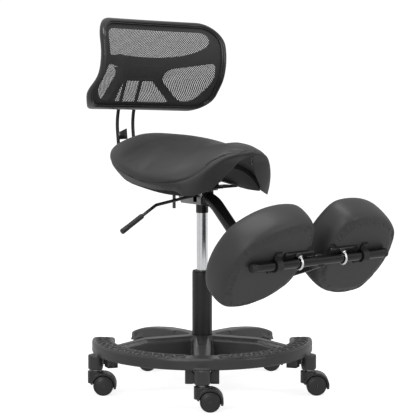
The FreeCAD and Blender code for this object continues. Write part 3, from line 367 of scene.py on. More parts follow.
def lathe(profile, start, along, count, closed=False):
    """A turned form: (radius, step along the axis) corners; a radius of nothing is a pole."""
    along = Vector(along).normalized()
    side = along.orthogonal().normalized()
    other = along.cross(side)
    rings = []
    for radius, step in profile:
        centre = Vector(start) + along * step
        section = round_section(radius, count) if radius else [(0, 0)]
        rings.append([centre + side * a + other * b for a, b in section])
    return stacked(rings, closed)


def softened(corners, radius, steps, closed=False):
    """A line whose corners are replaced by short curves."""
    corners = [Vector(corner) for corner in corners]
    count = len(corners)
    line = []
    for i, corner in enumerate(corners):
        if not closed and i in (0, count - 1):
            line.append(corner)
            continue
        before = corners[i - 1] - corner
        after = corners[(i + 1) % count] - corner
        one = corner + before * min(0.48, radius / before.length)
        two = corner + after * min(0.48, radius / after.length)
        for k in range(steps + 1):
            t = k / steps
            line.append(one * (1 - t) ** 2 + corner * 2 * t * (1 - t) + two * t ** 2)
    return line


def bent(corners, radii, steps=14):
    """Straight runs joined by arcs that touch them; one radius for each inner corner."""
    corners = [Vector(corner) for corner in corners]
    line = [corners[0]]
    for before, corner, after, radius in zip(corners, corners[1:], corners[2:], radii):
        back = (before - corner).normalized()
        on = (after - corner).normalized()
        half = (math.pi - back.angle(on)) / 2
        centre = corner + (back + on).normalized() * (radius / math.cos(half))
        spoke = corner + back * (radius * math.tan(half)) - centre
        axis = back.cross(on)
        for k in range(steps + 1):
            line.append(centre + Matrix.Rotation(-2 * half * k / steps, 3, axis) @ spoke)
    line.append(corners[-1])
    return line


def directions(path, closed=False):
    """Each point of a path with the way that the path runs there."""
    last = len(path) - 1
    for i, here in enumerate(path):
        before = path[i - 1] if i or closed else here
        after = path[(i + 1) % len(path)] if i < last or closed else here
        yield here, (after - before).normalized()


def sweep(path, section, side, shares=None):
    """A section of (across, outward) offsets carried along a flat path whose normal is the side."""
    side = Vector(side)
    rings = []
    for (here, along), share in zip(directions(path), shares or [1] * len(path)):
        out = along.cross(side)
        rings.append([here + (side * across + out * outward) * share for across, outward in section])
    return stacked(rings, capped=True)


def round_section(radius, count):
    turns = [TURN * i / count for i in range(count)]
    return [(radius * math.cos(turn), radius * math.sin(turn)) for turn in turns]


def rod(path, radius, side, fillet=0.8, count=20):
    """Round stock along a flat path, with softened ends."""
    path = [Vector(point) for point in path]
    start = (path[1] - path[0]).normalized() * fillet
    end = (path[-2] - path[-1]).normalized() * fillet
    line = [path[0], path[0] + start] + path[1:-1] + [path[-1] + end, path[-1]]
    shares = [1 - fillet / radius] + [1] * (len(line) - 2) + [1 - fillet / radius]
    return sweep(line, round_section(radius, count), side, shares=shares)


def hex_head(centre, along, radius, height):
    edge = 0.12 * height
    flat = 0.9 * radius
    profile = [(0, 0), (flat, 0), (radius, edge), (radius, height - edge), (flat, height), (0, height)]
    return lathe(profile, centre, along, 6)


def thread(centre, along, radius, length, pitch=1.5):
    """A bolt's end with its thread as close rings."""
    profile = [(0, 0), (0.8 * radius, 0)]
    for k in range(int(length / pitch)):
        profile += [(0.9 * radius, k * pitch + 0.3), (radius, (k + 0.5) * pitch)]
    profile += [(0.9 * radius, length), (0, length)]
    return lathe(profile, centre, along, 24)


def evaluated(thing, name):
    """The mesh of an object with its modifiers, as a new mesh; the object is taken away."""
    bpy.context.view_layer.update()
    graph = bpy.context.evaluated_depsgraph_get()
    mesh = bpy.data.meshes.new_from_object(thing.evaluated_get(graph), depsgraph=graph)
    mesh.name = name
    bpy.data.objects.remove(thing)
    return mesh


def modified(mesh, name, kind, **settings):
    """A mesh changed by one modifier, as a new mesh."""
    thing = placed("scratch", mesh)
    modifier = thing.modifiers.new(name, kind)
    for key, value in settings.items():
        setattr(modifier, key, value)
    return evaluated(thing, name)


def coordinates(mesh):
    points = np.empty(len(mesh.vertices) * 3)
    mesh.vertices.foreach_get("co", points)
    return points.reshape(-1, 3)


def set_coordinates(mesh, points):
    mesh.vertices.foreach_set("co", points.ravel())
    mesh.update()


def relax(mesh, steps):
    """Evens a mesh out without shrinking it, so that its sharp edges turn into small radii."""
    points = coordinates(mesh)
    count = len(points)
    edges = np.empty(len(mesh.edges) * 2, dtype=np.int64)
    mesh.edges.foreach_get("vertices", edges)
    one = edges[0::2]
    two = edges[1::2]
    degree = np.bincount(edges, minlength=count)
    for weight in (RELAX_PULL, RELAX_PUSH) * steps:
        for axis in range(3):
            line = points[:, axis]
            total = np.bincount(one, line[two], count) + np.bincount(two, line[one], count)
            points[:, axis] = line + weight * (total / degree - line)
    set_coordinates(mesh, points)


def moulded(name, sources, voxel, steps, share):
    """Solids joined by a fine remesh, with edges relaxed as a moulding's are, and a share of the faces."""
    work = bmesh.new()
    for source in sources:
        work.from_mesh(source)
    joined = bpy.data.meshes.new(name)
    work.to_mesh(joined)
    work.free()
    mesh = modified(joined, name, "REMESH", mode="VOXEL", voxel_size=voxel * MM)
    relax(mesh, steps)
    mesh = modified(mesh, name, "DECIMATE", ratio=share)
    mesh.materials.clear()
    shade(mesh, 60)
    return mesh


def bevelled(node, width):
    """A node's own form with its flat faces joined up and its edges softened."""
    work = bmesh.new()
    work.from_mesh(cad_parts[node].data)
    bmesh.ops.remove_doubles(work, verts=work.verts[:], dist=1e-6)
    bmesh.ops.dissolve_limit(work, angle_limit=math.radians(3), verts=work.verts[:], edges=work.edges[:])
    mesh = bpy.data.meshes.new(node)
    work.to_mesh(mesh)
    work.free()
    mesh = modified(
        mesh, node + "_edges", "BEVEL", width=width * MM, segments=2, limit_method="ANGLE",
        angle_limit=math.radians(SHARP),
    )
    mesh.materials.clear()
    shade(mesh, SHARP)
    return mesh


# Base, whose angles are in degrees from the front arm

BASE_TURN = 230.0
ARM_STEP = 72
FREE_ARMS_FROM = 115.0
RING_INNER = 221.0
RING_OUTER = 277.0
RING_BOTTOM = 97.0
RING_TOP = 125.0
RING_MIDDLE = (RING_INNER + RING_OUTER) / 2
RING_HALF_SPAN = 97.0
RING_BEVEL = 3.5
TREAD_PLAIN = 9.0
TREAD_WAVES = 13
TREAD_SWING = 16.0
SIDE_LUG_BOTTOM = 72.0
SIDE_LUG_HALF = 12.0
SIDE_LUG_REACH = 262.0
WEB_PLAN = ((240, 12), (258, 12), (258, 25), (240, 25))
WEB_HEIGHTS = (63, 87)
# A free arm's reach, the height of its back and its half width
CROWN = np.array([
    (95, 134, 22), (115, 133, 22), (157, 131, 21), (199, 127, 20),
    (241, 120.5, 18.5), (283, 108.5, 17), (297, 103, 15.5),
])


def compass(angle):
    """Level unit vectors along an angle and to its left."""
    turn = math.radians(angle)
    along = Vector((math.cos(turn), math.sin(turn), 0))
    return along, Vector((-along.y, along.x, 0))


def on_ring(angle, radius, height):
    return compass(angle)[0] * radius + Vector((0, 0, height))


def ridge(path, half, height):
    """A low rounded bead along a level path."""
    rings = []
    last = len(path) - 1
    for i, (here, along) in enumerate(directions(path)):
        side = Vector((-along.y, along.x, 0))
        small = 0.5 if i in (0, last) else 1
        ring = []
        for k in range(7):
            turn = math.pi * k / 6
            lift = Vector((0, 0, height * small * math.sin(turn) - 0.5))
            ring.append(here + side * (half * small * math.cos(turn)) + lift)
        rings.append(ring)
    return stacked(rings, capped=True)


def tread():
    """Zigzag foot grip on the ring: two crossing waves and short bars, plain over the front arm."""
    lumps = []
    reach = RING_HALF_SPAN - TREAD_PLAIN - 3.5
    steps = TREAD_WAVES * 12
    for sign in (-1, 1):
        first = BASE_TURN + sign * TREAD_PLAIN
        for swing in (TREAD_SWING, -TREAD_SWING):
            path = []
            for k in range(steps + 1):
                share = k / steps
                wave = math.sin(math.pi * TREAD_WAVES * share)
                sharp = math.copysign(abs(wave) ** 0.7, wave)
                path.append(on_ring(first + sign * reach * share, RING_MIDDLE + swing * sharp, RING_TOP))
            lumps.append(ridge(path, 2.4, 3.0))
        for k in range(TREAD_WAVES):
            angle = first + sign * reach * (k + 0.5) / TREAD_WAVES
            bar = [on_ring(angle, RING_MIDDLE + r, RING_TOP) for r in (-6, -2, 2, 6)]
            lumps.append(ridge(bar, 2.2, 2.6))
    span = RING_HALF_SPAN - 4 - TREAD_PLAIN
    for sign in (-1, 1):
        turns = [BASE_TURN + sign * (TREAD_PLAIN + span * k / 60) for k in range(61)]
        for radius in (RING_INNER + 6, RING_OUTER - 6):
            lumps.append(ridge([on_ring(turn, radius, RING_TOP) for turn in turns], 1.8, 2.0))
    return merged(*lumps)


def ring_slab():
    """The half ring at its full width, with rounded ends and bevelled upper edges."""
    first, last = -RING_HALF_SPAN, RING_HALF_SPAN
    corners = [(RING_INNER, first), (RING_OUTER, first), (RING_OUTER, last), (RING_INNER, last)]
    bend = RING_MIDDLE * math.radians(1)
    plan = softened([(radius, angle * bend) for radius, angle in corners], 12, 6, closed=True)
    line = []
    for here, after in zip(plan, plan[1:] + plan[:1]):
        steps = max(1, int((after - here).length / 8))
        line += [here.lerp(after, k / steps) for k in range(steps)]
    rings = []
    for inset, height in ((0, RING_BOTTOM), (0, RING_TOP - RING_BEVEL), (RING_BEVEL, RING_TOP)):
        ring = []
        for p in line:
            far = RING_MIDDLE + (p[0] - RING_MIDDLE) * (1 - inset / (RING_OUTER - RING_MIDDLE))
            turn = p[1] / bend * (1 - inset / (RING_HALF_SPAN * bend))
            ring.append(on_ring(BASE_TURN + turn, far, height))
        rings.append(ring)
    points, faces = stacked(rings)
    count = len(line)
    edges = [(i, (i + 1) % count) for i in range(count)]
    triangles = geometry.delaunay_2d_cdt(line, edges, [], 1, 1e-5)[2]
    for start in (0, 2 * count):
        faces += [tuple(start + i for i in triangle) for triangle in triangles]
    return points, faces


def arm_crown(angle):
    """The rounded back of a free arm, from the hub's side to its blunt end."""
    along, side = compass(angle)
    reaches = np.linspace(CROWN[0, 0], CROWN[-1, 0], 30)
    tops = smooth_values(reaches, CROWN[:, 0], CROWN[:, 1])
    halves = smooth_values(reaches, CROWN[:, 0], CROWN[:, 2])
    rings = []
    for reach, top, half in zip(reaches, tops, halves):
        edge = [(half, -22), (half, -6), (half - 2, -2), (half - 6, -0.3), (0, 0.5)]
        edge += [(-out, drop) for out, drop in reversed(edge[:-1])]
        ridge_spot = along * float(reach) + Vector((0, 0, float(top)))
        rings.append([ridge_spot + side * float(out) + Vector((0, 0, drop)) for out, drop in edge])
    return stacked(rings, capped=True)


def lug_webs():
    """Webs that close the lower part of the slots between the lugs and the caster sockets."""
    lumps = []
    for arm in (-ARM_STEP, 0, ARM_STEP):
        along, side = compass(BASE_TURN + arm)
        for sign in (-1, 1):
            plan = [along * reach + side * (sign * out) for reach, out in WEB_PLAN]
            rings = [[p + Vector((0, 0, height)) for p in plan] for height in WEB_HEIGHTS]
            lumps.append(stacked(rings, capped=True))
    return merged(*lumps)


def add_base():
    extras = [make_mesh("ring_slab", ring_slab()), make_mesh("lug_webs", lug_webs())]
    for arm in (-2, 2):
        extras.append(make_mesh("arm_crown", arm_crown(BASE_TURN + arm * ARM_STEP)))
    base = moulded("base_moulding", [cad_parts["five_arm_base"].data] + extras, 2.2, 22, 0.7)
    points = coordinates(base) / MM
    reach = np.hypot(points[:, 0], points[:, 1])
    turns = np.degrees(np.arctan2(points[:, 1], points[:, 0])) - BASE_TURN
    away = np.abs((turns + 180) % 360 - 180)
    free = (away > FREE_ARMS_FROM) & (reach > CROWN[0, 0])
    tops = smooth_values(np.clip(reach, CROWN[0, 0], CROWN[-1, 0]), CROWN[:, 0], CROWN[:, 1]) + 0.5
    points[free, 2] = np.minimum(points[free, 2], tops[free])
    lugs = (np.abs(away - ARM_STEP) < SIDE_LUG_HALF) & (reach < SIDE_LUG_REACH)
    points[lugs, 2] = np.maximum(points[lugs, 2], SIDE_LUG_BOTTOM)
    long = free & (reach > CROWN[-1, 0])
    points[long, :2] *= (CROWN[-1, 0] / reach[long])[:, None]
    set_coordinates(base, points * MM)
    piece("base_moulding", base, BASE_PLASTIC, "base", "base_plastic", "five_arm_base")
    built("base_tread", tread(), BASE_PLASTIC, "base", "base_plastic", sharp=60)


# Casters

CASTER_CIRCLE = 277.0
CASTER_TRAIL = 19.0
WHEEL_RADIUS = 25.0
WHEEL_PROFILE = [
    (4.4, 3.3), (20.5, 3.3), (21.5, 4.2), (23.4, 4.2), (24.6, 4.9), (25.0, 6.2), (25.0, 16.8),
    (24.7, 18.8), (23.9, 20.3), (22.6, 21.1), (21.7, 21.2), (21.3, 20.5), (20.8, 20.5), (20.4, 21.3),
    (18.0, 22.3), (14.0, 23.3), (9.0, 24.1), (4.0, 24.45), (0, 24.5), (0, 18.6), (4.4, 18.6),
]


def caster_spot(index):
    return on_ring(BASE_TURN + ARM_STEP * index, CASTER_CIRCLE, 0)


def add_casters():
    hood = moulded("caster_hood", [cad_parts["caster_1_hood"].data], 0.9, 7, 0.35)
    ahead, axle = compass(BASE_TURN - 270)
    for index in range(5):
        body = f"caster_{index + 1}"
        spot = caster_spot(index)
        mesh = hood.copy()
        mesh.transform(Matrix.Translation((spot - caster_spot(0)) * MM))
        piece(body + "_shroud", mesh, CASTER_PLASTIC, body, "caster_plastic", body + "_hood")
        paint(body + "_pins", STEEL)
        hub = spot + ahead * CASTER_TRAIL + Vector((0, 0, WHEEL_RADIUS))
        for side, letter in ((1, "a"), (-1, "b")):
            wheel = lathe(WHEEL_PROFILE, hub, axle * side, 56, closed=True)
            built(f"{body}_tyre_{letter}", wheel, CASTER_PLASTIC, f"{body}_{letter}", "caster_plastic",
                  f"{body}_wheel_{letter}", sharp=40)


# Gas lift

UP = (0, 0, 1)
FOOT = (0, 0, 0)


def turned(name, corners, radius, material, body, slot, node, count=64):
    profile = softened(corners, radius, 3, closed=True)
    built(name, lathe(profile, FOOT, UP, count, closed=True), material, body, slot, node)


def add_lift():
    turned("column_sleeve", [
        (22.6, 66), (23.9, 62), (25, 137), (25, 282), (25.0, 296), (22.6, 296),
    ], 1.2, COLUMN_BLACK, "base", "column_black", "column_tube")
    turned("column_bush", [
        (14.3, 220), (22.4, 220), (22.4, 296.2), (24.2, 296.2), (24.2, 299), (14.3, 299),
    ], 0.9, SOFT_BLACK, "base", "bush_plastic", "guide_bush")
    turned("lift_tube", [
        (12.4, 240), (14, 236), (14, 444.5), (13, 482), (5, 482), (5, 440),
    ], 0.8, CHROME, "seat", "chrome", "pressure_tube", count=72)
    turned("lift_collar", [
        (14.1, 444.5), (15.6, 444.5), (15.6, 481.8), (13.2, 481.8),
    ], 0.9, BLACK_STEEL, "seat", "black_steel", "taper_socket")


# Seat carrier

BOLT_SPOTS = [(x, y) for x in (-42, 42) for y in (-2, 62)]
CLAMP_BOLT = Vector((0, 111, 0))
WING_CORNERS = [(-106, -18), (106, -18), (106, 34), (-106, 34)]
WING_HEIGHTS = (503.3, 506.7)


def add_carrier():
    piece("lever_tray", bevelled("lever_housing", 0.8), ZINC, "seat", "zinc", "lever_housing")
    piece("carrier_plate", bevelled("seat_plate", 1.2), BLACK_STEEL, "seat", "black_steel", "seat_plate")
    wings = softened(WING_CORNERS, 10, 5, closed=True)
    cross = stacked([[Vector((*p, z)) for p in wings] for z in WING_HEIGHTS], capped=True)
    built("carrier_cross", cross, BLACK_STEEL, "seat", "black_steel")
    piece("rod_clamp", bevelled("back_clamp", 1.5), BLACK_STEEL, "seat", "black_steel", "back_clamp")
    heads = []
    bushes = []
    washer = [(0, 0), (8.4, 0), (8.7, 0.4), (8.7, 1.1), (0, 1.1)]
    waist = softened([(0, 0), (9, 0), (8.4, 5.3), (9, 10.6), (0, 10.6)], 1.2, 3)
    for x, y in BOLT_SPOTS:
        heads.append(hex_head((x, y, 497.9), UP, 7, 3.6))
        heads.append(lathe(washer, (x, y, 501.6), UP, 32))
        bushes.append(lathe(waist, (x, y, 507.2), UP, 32))
    built("seat_bolt_heads", merged(*heads), ZINC, "seat", "zinc", "seat_bolts", sharp=25)
    built("seat_bushes", merged(*bushes), RUBBER, "seat", "rubber")
    bolt = merged(
        thread(CLAMP_BOLT + Vector((0, 0, 446)), UP, 4.5, 46),
        hex_head(CLAMP_BOLT + Vector((0, 0, 497.6)), UP, 8.8, 5.1),
        lathe([(0, 0), (4.4, 0), (4.4, 15), (0, 15)], CLAMP_BOLT + Vector((0, 0, 492)), UP, 24),
    )
    built("clamp_screw", bolt, ZINC, "seat", "zinc", "back_clamp_bolt", sharp=25)


# Release lever

LEVER_PLANE = 3.0
LEVER_LINE = ((9, 493), (-145, 473), (-251, 415))
LEVER_PIVOT = 30 / 154
GRIP_LENGTH = 72


def add_lever():
    inner, bend, end = [Vector((x, LEVER_PLANE, z)) for x, z in LEVER_LINE]
    along = (end - bend).normalized()
    grip = end - along * GRIP_LENGTH
    path = bent([inner, bend, grip + along * (GRIP_LENGTH / 2)], [18])
    pivot = inner + (bend - inner) * LEVER_PIVOT
    pin = lathe([(0, 0), (3, 0), (3, 11.5), (0, 11.5)], pivot - Vector((0, 5.75, 0)), (0, 1, 0), 24)
    shaft = merged(rod(path, 4, (0, 1, 0)), pin)
    built("lever_shaft", shaft, BLACK_STEEL, "lever", "black_steel", "lever_rod")
    profile = [(4.3, 4), (4.3, 0), (5.6, 0), (6.3, 0.8), (6.5, 2.5), (6.5, 8)]
    for k in range(7):
        step = 12 + 6 * k
        profile += [(6.6, step - 1.6), (6.1, step - 0.7), (6.1, step + 0.7), (6.7, step + 1.6)]
    profile += [(6.9, 56), (7.0, GRIP_LENGTH - 2), (6.7, GRIP_LENGTH - 0.6), (6.0, GRIP_LENGTH)]
    profile += [(0, GRIP_LENGTH), (0, 40), (4.3, 36.2)]
    handle = lathe(profile, grip, along, 40, closed=True)
    built("lever_handle", handle, SOFT_BLACK, "lever", "bush_plastic", "lever_grip")


def eased(value):
    value = min(1.0, max(0.0, value))
    return value * value * (3 - 2 * value)


# Saddle, drawn through stations: forward place, heights of spine, widest line, lower edge and
# underside, and the lower edge's share of the half width

SADDLE = np.array([
    (-257, 608, 597, 574, 576, 0.5),
    (-246, 621, 600, 562, 566, 0.55),
    (-222, 630, 599, 548, 556, 0.7),
    (-180, 634, 592, 532, 550, 0.745),
    (-120, 634, 580, 521, 545, 0.775),
    (-59, 632, 562, 515, 542, 0.78),
    (0, 627, 546, 510, 545, 0.79),
    (60, 621, 540, 504, 560, 0.835),
    (98, 624, 543, 493, 575, 0.94),
    (126, 627, 551, 506, 582, 0.78),
    (147, 628, 564, 548, 584, 0.485),
    (165, 625, 583, 582, 590, 0.29),
    (182, 617, 600, 596, 598, 0.3),
])
TOP_STEPS = 44
SIDE_STEPS = 14
UNDER_STEPS = 36
SADDLE_RINGS = 84
SADDLE_WIDEST = -59
SADDLE_FRONT = 249
SADDLE_REAR = 200
SADDLE_HALF = 190
NOSE_PINCH = 0.15
# Share of the end ring and step outward for each ring that rounds an end
SADDLE_ENDS = ((0.35, 4.5), (0.75, 3.2), (0.94, 1.3))
HEM = 3
# Forward place, and how many steps of a ring the sewn line lies below the widest place
SEAM = np.array([(-250, 4.0), (-60, 4.5), (25, 5.5), (82, 3.5), (125, -1.0), (150, -5.0), (182, -6.0)])


def smooth_values(places, knots, values):
    """Smooth values between knots, with no swing past them."""
    gaps = np.diff(knots)
    rises = np.diff(values) / gaps
    slopes = np.zeros(len(knots))
    slopes[0] = rises[0]
    slopes[-1] = rises[-1]
    for i in range(1, len(knots) - 1):
        if rises[i - 1] * rises[i] > 0:
            one = 2 * gaps[i] + gaps[i - 1]
            two = gaps[i] + 2 * gaps[i - 1]
            slopes[i] = (one + two) / (one / rises[i - 1] + two / rises[i])
    index = np.clip(np.searchsorted(knots, places) - 1, 0, len(gaps) - 1)
    gap = gaps[index]
    t = (places - knots[index]) / gap
    step = (values[index + 1] - values[index]) * t * t * (3 - 2 * t)
    leaving = slopes[index] * gap * t * (1 - t) ** 2
    arriving = slopes[index + 1] * gap * t * t * (1 - t)
    return values[index] + leaving + step - arriving


def saddle_half_width(forward):
    along = forward - SADDLE_WIDEST
    share = along / (SADDLE_FRONT if along > 0 else SADDLE_REAR)
    pinch = NOSE_PINCH * share ** 2 if along > 0 else 0
    return SADDLE_HALF * math.sqrt(1 - share ** 2) * (1 - pinch)


def arc_points(one, middle, two, count):
    """Points of the arc through three places in a section, with both ends."""
    one, middle, two = Vector(one), Vector(middle), Vector(two)
    a = middle - one
    b = two - one
    cross = 2 * (a.x * b.y - a.y * b.x)
    if abs(cross) < 1e-6:
        return [one.lerp(two, k / count) for k in range(count + 1)]
    centre = one + Vector((
        (b.y * a.length_squared - a.y * b.length_squared) / cross,
        (a.x * b.length_squared - b.x * a.length_squared) / cross,
    ))
    radius = (one - centre).length
    first = math.atan2(one.y - centre.y, one.x - centre.x)
    mid = math.atan2(middle.y - centre.y, middle.x - centre.x)
    last = math.atan2(two.y - centre.y, two.x - centre.x)
    sign = -1 if cross < 0 else 1
    span = ((last - first) * sign) % TURN
    if ((mid - first) * sign) % TURN > span:
        sign = -sign
        span = ((last - first) * sign) % TURN
    turns = [first + sign * span * k / count for k in range(count + 1)]
    return [centre + radius * Vector((math.cos(turn), math.sin(turn))) for turn in turns]


def saddle_ring(forward, spine, seam, edge, under, share):
    wide = saddle_half_width(forward)
    low = wide * share
    flank = 0.6 * wide + 0.4 * low + 0.05 * (seam - edge)
    middle = (seam + edge) / 2
    top = arc_points((wide, seam), (0, spine), (-wide, seam), TOP_STEPS)
    left = arc_points((-wide, seam), (-flank, middle), (-low, edge), SIDE_STEPS)
    beneath = arc_points((-low, edge), (0, under), (low, edge), UNDER_STEPS)
    right = arc_points((low, edge), (flank, middle), (wide, seam), SIDE_STEPS)
    flat = rounded_edges(top[:-1] + left[:-1] + beneath[:-1] + right[:-1])
    lean = 0.05 * eased((forward + 20) / 110)
    return [Vector((x, -forward, z - lean * x)) for x, z in flat]


def rounded_edges(flat):
    """Rounds a section where the top meets the sides, and keeps its width."""
    points = np.array([(p.x, p.y) for p in flat])
    count = len(points)
    index = np.arange(count)
    apart = np.minimum((index - TOP_STEPS) % count, (TOP_STEPS - index) % count)
    apart = np.minimum(apart, np.minimum(index, count - index))
    share = np.clip((11 - apart) / 6, 0, 1)[:, None]
    before = np.abs(points[:, 0]).max()
    for _ in range(14):
        even = (np.roll(points, 1, axis=0) + 2 * points + np.roll(points, -1, axis=0)) / 4
        points = points + (even - points) * share
    points[:, 0] *= 1 + (before / np.abs(points[:, 0]).max() - 1) * share[:, 0]
    return points


def saddle_rings():
    knots = SADDLE[:, 0]
    steps = np.arange(SADDLE_RINGS + 1) / SADDLE_RINGS
    crowded = 0.5 - 0.5 * np.cos(np.pi * steps)
    places = knots[0] + (knots[-1] - knots[0]) * (0.45 * steps + 0.55 * crowded)
    columns = [smooth_values(places, knots, SADDLE[:, k]) for k in range(1, 6)]
    return [saddle_ring(f, *[column[i] for column in columns]) for i, f in enumerate(places)]


def shrunk(ring, share, push):
    middle = sum(ring, Vector()) / len(ring)
    return [middle + (point - middle) * share + Vector((0, push, 0)) for point in ring]


def saddle_lump():
    rings = saddle_rings()
    rear = [shrunk(rings[0], share, push) for share, push in SADDLE_ENDS]
    nose = [shrunk(rings[-1], share, -push) for share, push in reversed(SADDLE_ENDS)]
    points, faces = stacked(rear + rings + nose, capped=True)
    return points, faces, len(rings[0])


def inflated(mesh, held, cap):
    """The cover swells under a light pressure; held points stay, and none moves further than the cap."""
    before = coordinates(mesh)
    thing = placed("scratch", mesh)
    pins = thing.vertex_groups.new(name="held")
    pins.add([int(i) for i in held], 1.0, "REPLACE")
    cloth = thing.modifiers.new("cover", "CLOTH")
    settings = cloth.settings
    settings.vertex_group_mass = "held"
    settings.use_pressure = True
    settings.uniform_pressure_force = 4
    settings.effector_weights.gravity = 0
    settings.tension_stiffness = 30
    settings.compression_stiffness = 30
    settings.shear_stiffness = 12
    settings.bending_stiffness = 2
    settings.quality = 5
    cloth.collision_settings.use_collision = False
    scene = bpy.context.scene
    for step in range(1, 21):
        scene.frame_set(step)
    swollen = evaluated(thing, mesh.name)
    scene.frame_set(1)
    move = coordinates(swollen) - before
    far = np.linalg.norm(move, axis=1, keepdims=True)
    limit = cap * MM
    move *= limit * np.tanh(far / limit) / np.maximum(far, 1e-9)
    set_coordinates(swollen, before + move)
    return swollen


def outward(mesh):
    normals = np.empty(len(mesh.vertices) * 3)
    mesh.vertex_normals.foreach_get("vector", normals)
    return normals.reshape(-1, 3)


def groove(mesh, line, depth, half):
    """Presses a sewn line into a soft piece."""
    corners = np.array([list(Vector(point) * MM) for point in line])
    points = coordinates(mesh)
    near = np.full(len(points), 1.0)
    for one, two in zip(corners, np.roll(corners, -1, axis=0)):
        run = two - one
        share = np.clip(((points - one) @ run) / max(run @ run, 1e-12), 0, 1)
        near = np.minimum(near, np.linalg.norm(points - one - share[:, None] * run, axis=1))
    dip = depth * MM * np.exp(-(near / (half * MM)) ** 2)
    set_coordinates(mesh, points - outward(mesh) * dip[:, None])


def laid_on(mesh, line, sink):
    """A line's points moved to the nearest place on a mesh, sunk a little."""
    tree = BVHTree.FromPolygons([v.co for v in mesh.vertices], [p.vertices for p in mesh.polygons])
    laid = []
    for point in line:
        spot, normal, _, _ = tree.find_nearest(Vector(point) * MM)
        laid.append((spot - normal * sink * MM) / MM)
    return laid


def stitched(line, radius, closed=True):
    """A thin round line through points in space."""
    section = round_section(radius, 8)
    rings = []
    for here, along in directions(line, closed):
        side = along.cross(Vector(UP)).normalized()
        other = along.cross(side)
        rings.append([here + (side * a + other * b) for a, b in section])
    return stacked(rings, closed, not closed)


def seam_spot(ring, side):
    """Where the sewn line crosses a ring: below the widest place at the rear, and above it in front."""
    forward = np.array([-ring[0].y])
    below = float(smooth_values(forward, SEAM[:, 0], SEAM[:, 1])[0])
    place = (-below if side > 0 else TOP_STEPS + below) % len(ring)
    first = int(place)
    return ring[first].lerp(ring[(first + 1) % len(ring)], place - first)


def add_saddle():
    points, faces, count = saddle_lump()
    mesh = make_mesh("saddle_cover", (points, faces), 180)
    mesh.materials.append(VINYL)
    mesh.materials.append(LINING)
    first_under = TOP_STEPS + SIDE_STEPS
    last_under = first_under + UNDER_STEPS
    for face in mesh.polygons:
        columns = [index % count for index in face.vertices]
        inside = all(first_under + HEM <= c <= last_under - HEM for c in columns)
        face.material_index = 1 if inside and len(columns) == 4 else 0
    index = np.arange(len(points))
    column = index % count
    held = (column >= first_under) & (column <= last_under)
    held |= (column == 0) | (column == TOP_STEPS)
    mesh = inflated(mesh, index[held], 5)
    ends = len(SADDLE_ENDS)
    rings = [points[i:i + count] for i in range(0, len(points), count)][ends:-ends]
    seam = [seam_spot(ring, 1) for ring in rings] + [seam_spot(ring, -1) for ring in reversed(rings)]
    hem_line = [ring[first_under + HEM] for ring in rings[4:-4]]
    hem_line += [ring[last_under - HEM] for ring in reversed(rings[4:-4])]
    mesh = modified(mesh, mesh.name, "SUBSURF", levels=1)
    groove(mesh, seam, 2.6, 2.6)
    groove(mesh, hem_line, 1.6, 3.0)
    shade(mesh, 180)
    cover = piece("saddle_cover", mesh, VINYL, "seat", "vinyl", "saddle_cushion")
    built("saddle_seam", stitched(laid_on(mesh, seam, 0.2), 0.9), THREAD, "seat", "vinyl")
    built("saddle_staples", staples(mesh, hem_line), STEEL, "seat", "lift_steel")
    paint("seat_pan", BOARD)


def staples(mesh, line):
    """Short wire staples across the hem, one every two steps of the line."""
    laid = laid_on(mesh, line, -0.2)
    lumps = []
    for i in range(1, len(laid) - 1, 2):
        arm = (laid[i + 1] - laid[i - 1]).normalized() * 4.5
        lumps.append(stitched([laid[i] - arm, laid[i], laid[i] + arm], 0.45, closed=False))
    return merged(*lumps)


# Knee arm and bar

BAR = Vector((0, -429, 369))
BAR_RADIUS = 11.0
BAR_HALF = 205.0
WELD = Vector((0, -19.8, 481))
ACROSS = (1, 0, 0)


def knee_arm_path():
    """From the weld on the tray's front down at a slope, then round the dip and up to the bar."""
    start = Vector((0, -24.5, 481))
    first = math.radians(10)
    second = math.radians(42)
    rise = math.radians(18)
    trim = 75 * math.tan((second - first) / 2)
    bend = start + Vector((0, -trim * math.cos(first), -trim * math.sin(first)))
    fall = (BAR.z - bend.z) + math.tan(second) * (bend.y - BAR.y)
    back = fall / (math.tan(second) + math.tan(rise))
    dip = BAR + Vector((0, back, -back * math.tan(rise)))
    return bent([start, bend, dip, BAR], [74.8, 115], 20)


def add_knee_arm():
    arm = rod(knee_arm_path(), 16.5, ACROSS, 1.0, 40)
    plate = softened([(-16, -15), (16, -15), (16, 17), (-16, 17)], 3, 4, closed=True)
    yoke = sweep([WELD, WELD + Vector((0, -5, 0))], plate, ACROSS)
    bead = [(15.5, -1), (19.0, 0), (19.6, 1.2), (18.6, 2.6), (16.9, 4.4), (15.5, 4.4)]
    ring = lathe(bead, WELD + Vector((0, -4.6, -1)), (0, -1, -0.17), 40, closed=True)
    built("knee_arm_tube", merged(arm, yoke, ring), BLACK_STEEL, "seat", "black_steel", "knee_arm")
    inner = BAR_RADIUS - 2
    long = 2 * BAR_HALF
    pipe = [(inner, 0), (BAR_RADIUS - 0.5, 0), (BAR_RADIUS, 0.5)]
    pipe += [(BAR_RADIUS, long * k / 40) for k in range(1, 40)]
    pipe += [(BAR_RADIUS, long - 0.5), (BAR_RADIUS - 0.5, long), (inner, long)]
    bar = lathe(pipe, BAR - Vector((BAR_HALF, 0, 0)), ACROSS, 40, closed=True)
    built("knee_bar_pipe", bar, BLACK_STEEL, "seat", "black_steel", "knee_bar")
    corners = [(0, -12), (8.9, -12), (8.9, 0.2), (11.2, 0.2), (11.0, 9.6), (8.6, 12), (0, 12)]
    plug = softened(corners, 1.4, 4)
    plugs = [lathe(plug, BAR + Vector((x * BAR_HALF, 0, 0)), (x, 0, 0), 40) for x in (-1, 1)]
    built("knee_bar_plugs", merged(*plugs), SOFT_BLACK, "seat", "bush_plastic", "knee_bar_caps")


# Knee pads, drawn for the sitter's left

